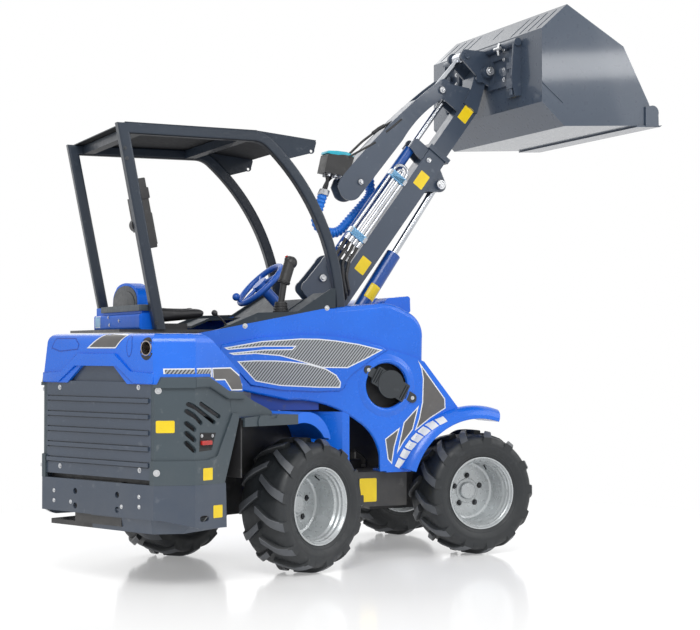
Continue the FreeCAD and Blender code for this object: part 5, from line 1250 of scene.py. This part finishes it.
def pad(name, body, node, narrow=0.0, front_from=None, wedge=0.0):
    """Stuffed pad in the room of its CAD block: a soft block blown up a little as cloth, then finished.
    Its top may be narrower, its front may start at an x, and its underside may rise to the front."""
    low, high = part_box(node)
    inset = Vector((PAD_INSET, PAD_INSET, PAD_INSET)) * MM
    low, high = low + inset, high - inset
    if front_from is not None:
        low.x = front(front_from, 0, 0).x
    middle, half = (low + high) / 2, (high - low) / 2
    bm = bmesh.new()
    bmesh.ops.create_cube(bm, size=2.0)
    for vert in bm.verts:
        vert.co = Vector([m + h * c for m, h, c in zip(middle, half, vert.co)])
        if vert.co.z < middle.z:
            vert.co.z += wedge * MM * (vert.co.x - low.x) / (high.x - low.x)
        if narrow and vert.co.z > middle.z:
            vert.co.y = middle.y + (vert.co.y - middle.y) * (1 - narrow)
    bmesh.ops.bevel(bm, geom=bm.edges[:], offset=min(half) * 0.55, segments=4, affect="EDGES", profile=0.5)
    mesh = bpy.data.meshes.new(name)
    bm.to_mesh(mesh)
    bm.free()
    obj = new_object(name, mesh)
    remesh = obj.modifiers.new("even", "REMESH")
    remesh.mode = "VOXEL"
    remesh.voxel_size = 0.008
    even = evaluated(obj)
    obj.modifiers.clear()
    obj.data = even
    obj.data = stuffed(obj)
    obj.data.materials.clear()
    obj.data.materials.append(seat_vinyl)
    obj.data.shade_smooth()
    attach(obj, body)
    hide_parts(node)
    return obj


def piping(bm, on, points, look):
    """Rolled seam that follows the finished pad: the points are looked at along look, from outside it."""
    route = [hit[0] for hit in (surface_of(on).ray_cast(p, look) for p in points) if hit[0] is not None]
    tube_into(bm, route + route[:2], 2.6, 8)


def dome(half, low, shoulder, top, count=14):
    """Outline in y and z of a back rest: straight sides, then a rounded top."""
    angles = [math.pi * i / count for i in range(count + 1)]
    arc = [(half * math.cos(a), shoulder + (top - shoulder) * math.sin(a) ** 0.8) for a in angles]
    return [(half, low)] + arc + [(-half, low)]


def squarish(x, y, long, wide, count=72):
    """Closed curve between an ellipse and a rectangle, about (x, y)."""
    def flat(value):
        return math.copysign(abs(value) ** 0.4, value)
    angles = [2 * math.pi * (i + 0.5) / count for i in range(count)]
    return [(x + long * flat(math.cos(a)), y + wide * flat(math.sin(a))) for a in angles]


def seat():
    """Cushion with its piping, back pad, and the back's blue shell with its dark rear panel."""
    pad("seat_cushion_pad", "front_chassis", "seat_cushion", wedge=26)
    low, high = (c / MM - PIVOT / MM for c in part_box("seat_back"))
    back, split = low.x, low.x + 0.5 * (high.x - low.x)
    pad("seat_back_pad", "front_chassis", "seat_back", 0.3, front_from=split)
    bm = bmesh.new()
    over = [front(x, y, 1400) for x, y in squarish(-960, 0, 128, 190)]
    piping(bm, "seat_cushion_pad", over, -UP)
    finished(bm, "cushion_piping", seat_vinyl, "front_chassis", "seat_vinyl")
    bm = bmesh.new()
    prism_into(bm, dome(213, low.z, 1196, high.z - 1), across_front, back + 2, split + 6, 9)
    finished(bm, "seat_shell", box_blue, "front_chassis", "blue_shell")
    bm = bmesh.new()
    prism_into(bm, dome(196, 1150, 1190, high.z - 14), across_front, back - 1, back + 8, 3)
    prism_into(bm, dome(168, 1150, 1184, high.z - 38), across_front, back - 5, back + 4, 3)
    finished(bm, "seat_rear_panel", finned_plastic, "front_chassis", "black_rubber")


def rear_box_trim():
    """Ledge, blank plate and bolts of the box behind the seat."""
    bm = bmesh.new()
    prism_into(bm, rounded(-1163, -1073, -388, 250, 8), front, 1150, 1178, 2)
    finished(bm, "rear_box_ledge", grey_shell, "front_chassis", "grey_shell")
    sticker("rear_box_plate", "front_chassis", ["rear_box"], rounded(262, 352, 1080, 1136, 5),
            lambda y, z: (front(-1400, y, z), AHEAD), light_blue, border=3.0)
    spots = [(front(-1161, y, z), -AHEAD) for y, z in ((120, 1128), (100, 1092), (-60, 1110))]
    bolts("rear_box_bolts", "front_chassis", spots, 5, 4, 8)


# ---------------------------------------------------------------- run
finish_nodes()
side_swells()
hood_trim()
tail_guard()
latch()
small_levers()
joystick_trim()
belt_cover()
lamp_lenses()
seat()
rear_box_trim()
wheels()
front_stickers()
rear_stickers()
boom_stickers()
body_bolts()
pin_caps()
arm_trim()
carrier_trim()
bucket_welds()
pipe_trim()
spiral_guard()
coupler()


# ---------------------------------------------------------------- camera, floor and light
def make_camera():
    data = bpy.data.cameras.new("camera")
    camera = new_object("camera", data)
    camera.location = PIVOT + Vector((-3.217, -7.202, 0.996))
    camera.rotation_euler = Vector((0.4115, 0.9112, 0.0191)).to_track_quat("-Z", "Y").to_euler()
    data.sensor_width = 36.0
    data.lens = 82.0
    bpy.context.scene.camera = camera


def make_floor():
    """Pale glossy floor that fades into the white backdrop away from the machine."""
    half = 30
    mesh = bpy.data.meshes.new("floor")
    corners = [(-half, -half, 0), (half, -half, 0), (half, half, 0), (-half, half, 0)]
    mesh.from_pydata(corners, [], [(0, 1, 2, 3)])
    floor = new_object("floor", mesh)
    material, tree, shader = blank_material("pale_floor")
    shader.inputs["Base Color"].default_value = (0.95, 0.95, 0.95, 1)
    shader.inputs["Emission Color"].default_value = (1, 1, 1, 1)
    shader.inputs["Emission Strength"].default_value = 0.25
    shader.inputs["Roughness"].default_value = 0.12
    shader.inputs["Specular IOR Level"].default_value = 0.35
    glow = tree.nodes.new("ShaderNodeEmission")
    blend = tree.nodes.new("ShaderNodeMixShader")
    length = tree.nodes.new("ShaderNodeVectorMath")
    length.operation = "LENGTH"
    tree.links.new(tree.nodes.new("ShaderNodeTexCoord").outputs["Object"], length.inputs[0])
    tree.links.new(spread(tree, length.outputs["Value"], 1.2, 2.8), blend.inputs["Fac"])
    tree.links.new(shader.outputs[0], blend.inputs[1])
    tree.links.new(glow.outputs[0], blend.inputs[2])
    tree.links.new(blend.outputs[0], tree.nodes["Material Output"].inputs["Surface"])
    mesh.materials.append(material)


def make_world():
    """White studio: it lights softly, and shows as plain white to the camera, in gloss and through glass."""
    world = bpy.data.worlds.new("studio")
    bpy.context.scene.world = world
    world.use_nodes = True
    tree = world.node_tree
    lit = tree.nodes["Background"]
    lit.inputs["Color"].default_value = (1, 1, 1, 1)
    lit.inputs["Strength"].default_value = 0.6
    seen = tree.nodes.new("ShaderNodeBackground")
    seen.inputs["Color"].default_value = (1, 1, 1, 1)
    path = tree.nodes.new("ShaderNodeLightPath")
    direct = maths(tree, "ADD", path.outputs["Is Camera Ray"], path.outputs["Is Glossy Ray"])
    shown = maths(tree, "ADD", direct, path.outputs["Is Transmission Ray"])
    mix = tree.nodes.new("ShaderNodeMixShader")
    tree.links.new(maths(tree, "MINIMUM", shown, 1.0), mix.inputs["Fac"])
    tree.links.new(lit.outputs[0], mix.inputs[1])
    tree.links.new(seen.outputs[0], mix.inputs[2])
    tree.links.new(mix.outputs[0], tree.nodes["World Output"].inputs["Surface"])


def make_lamps():
    """Soft boxes in front, beside and behind, and a long strip that only draws highlights on the gloss."""
    for name, place, wide, tall, power in (
        ("key", (-2.5, -4.5, 5.0), 3.0, 3.0, 200.0),
        ("fill", (4.5, -2.5, 4.0), 4.0, 4.0, 70.0),
        ("back", (0.0, 5.0, 4.5), 4.0, 4.0, 60.0),
        ("strip", (5.6, -7.2, 3.8), 7.0, 0.26, 75.0),
    ):
        data = bpy.data.lights.new(name, "AREA")
        data.shape = "RECTANGLE"
        data.energy = power
        data.size, data.size_y = wide, tall
        lamp = new_object(name, data)
        lamp.location = place
        lamp.visible_diffuse = name != "strip"
        lamp.rotation_euler = (Vector((0, 0, 0.8)) - Vector(place)).to_track_quat("-Z", "Y").to_euler()


make_camera()
make_floor()
make_world()
make_lamps()
bpy.context.scene.view_settings.view_transform = "Standard"
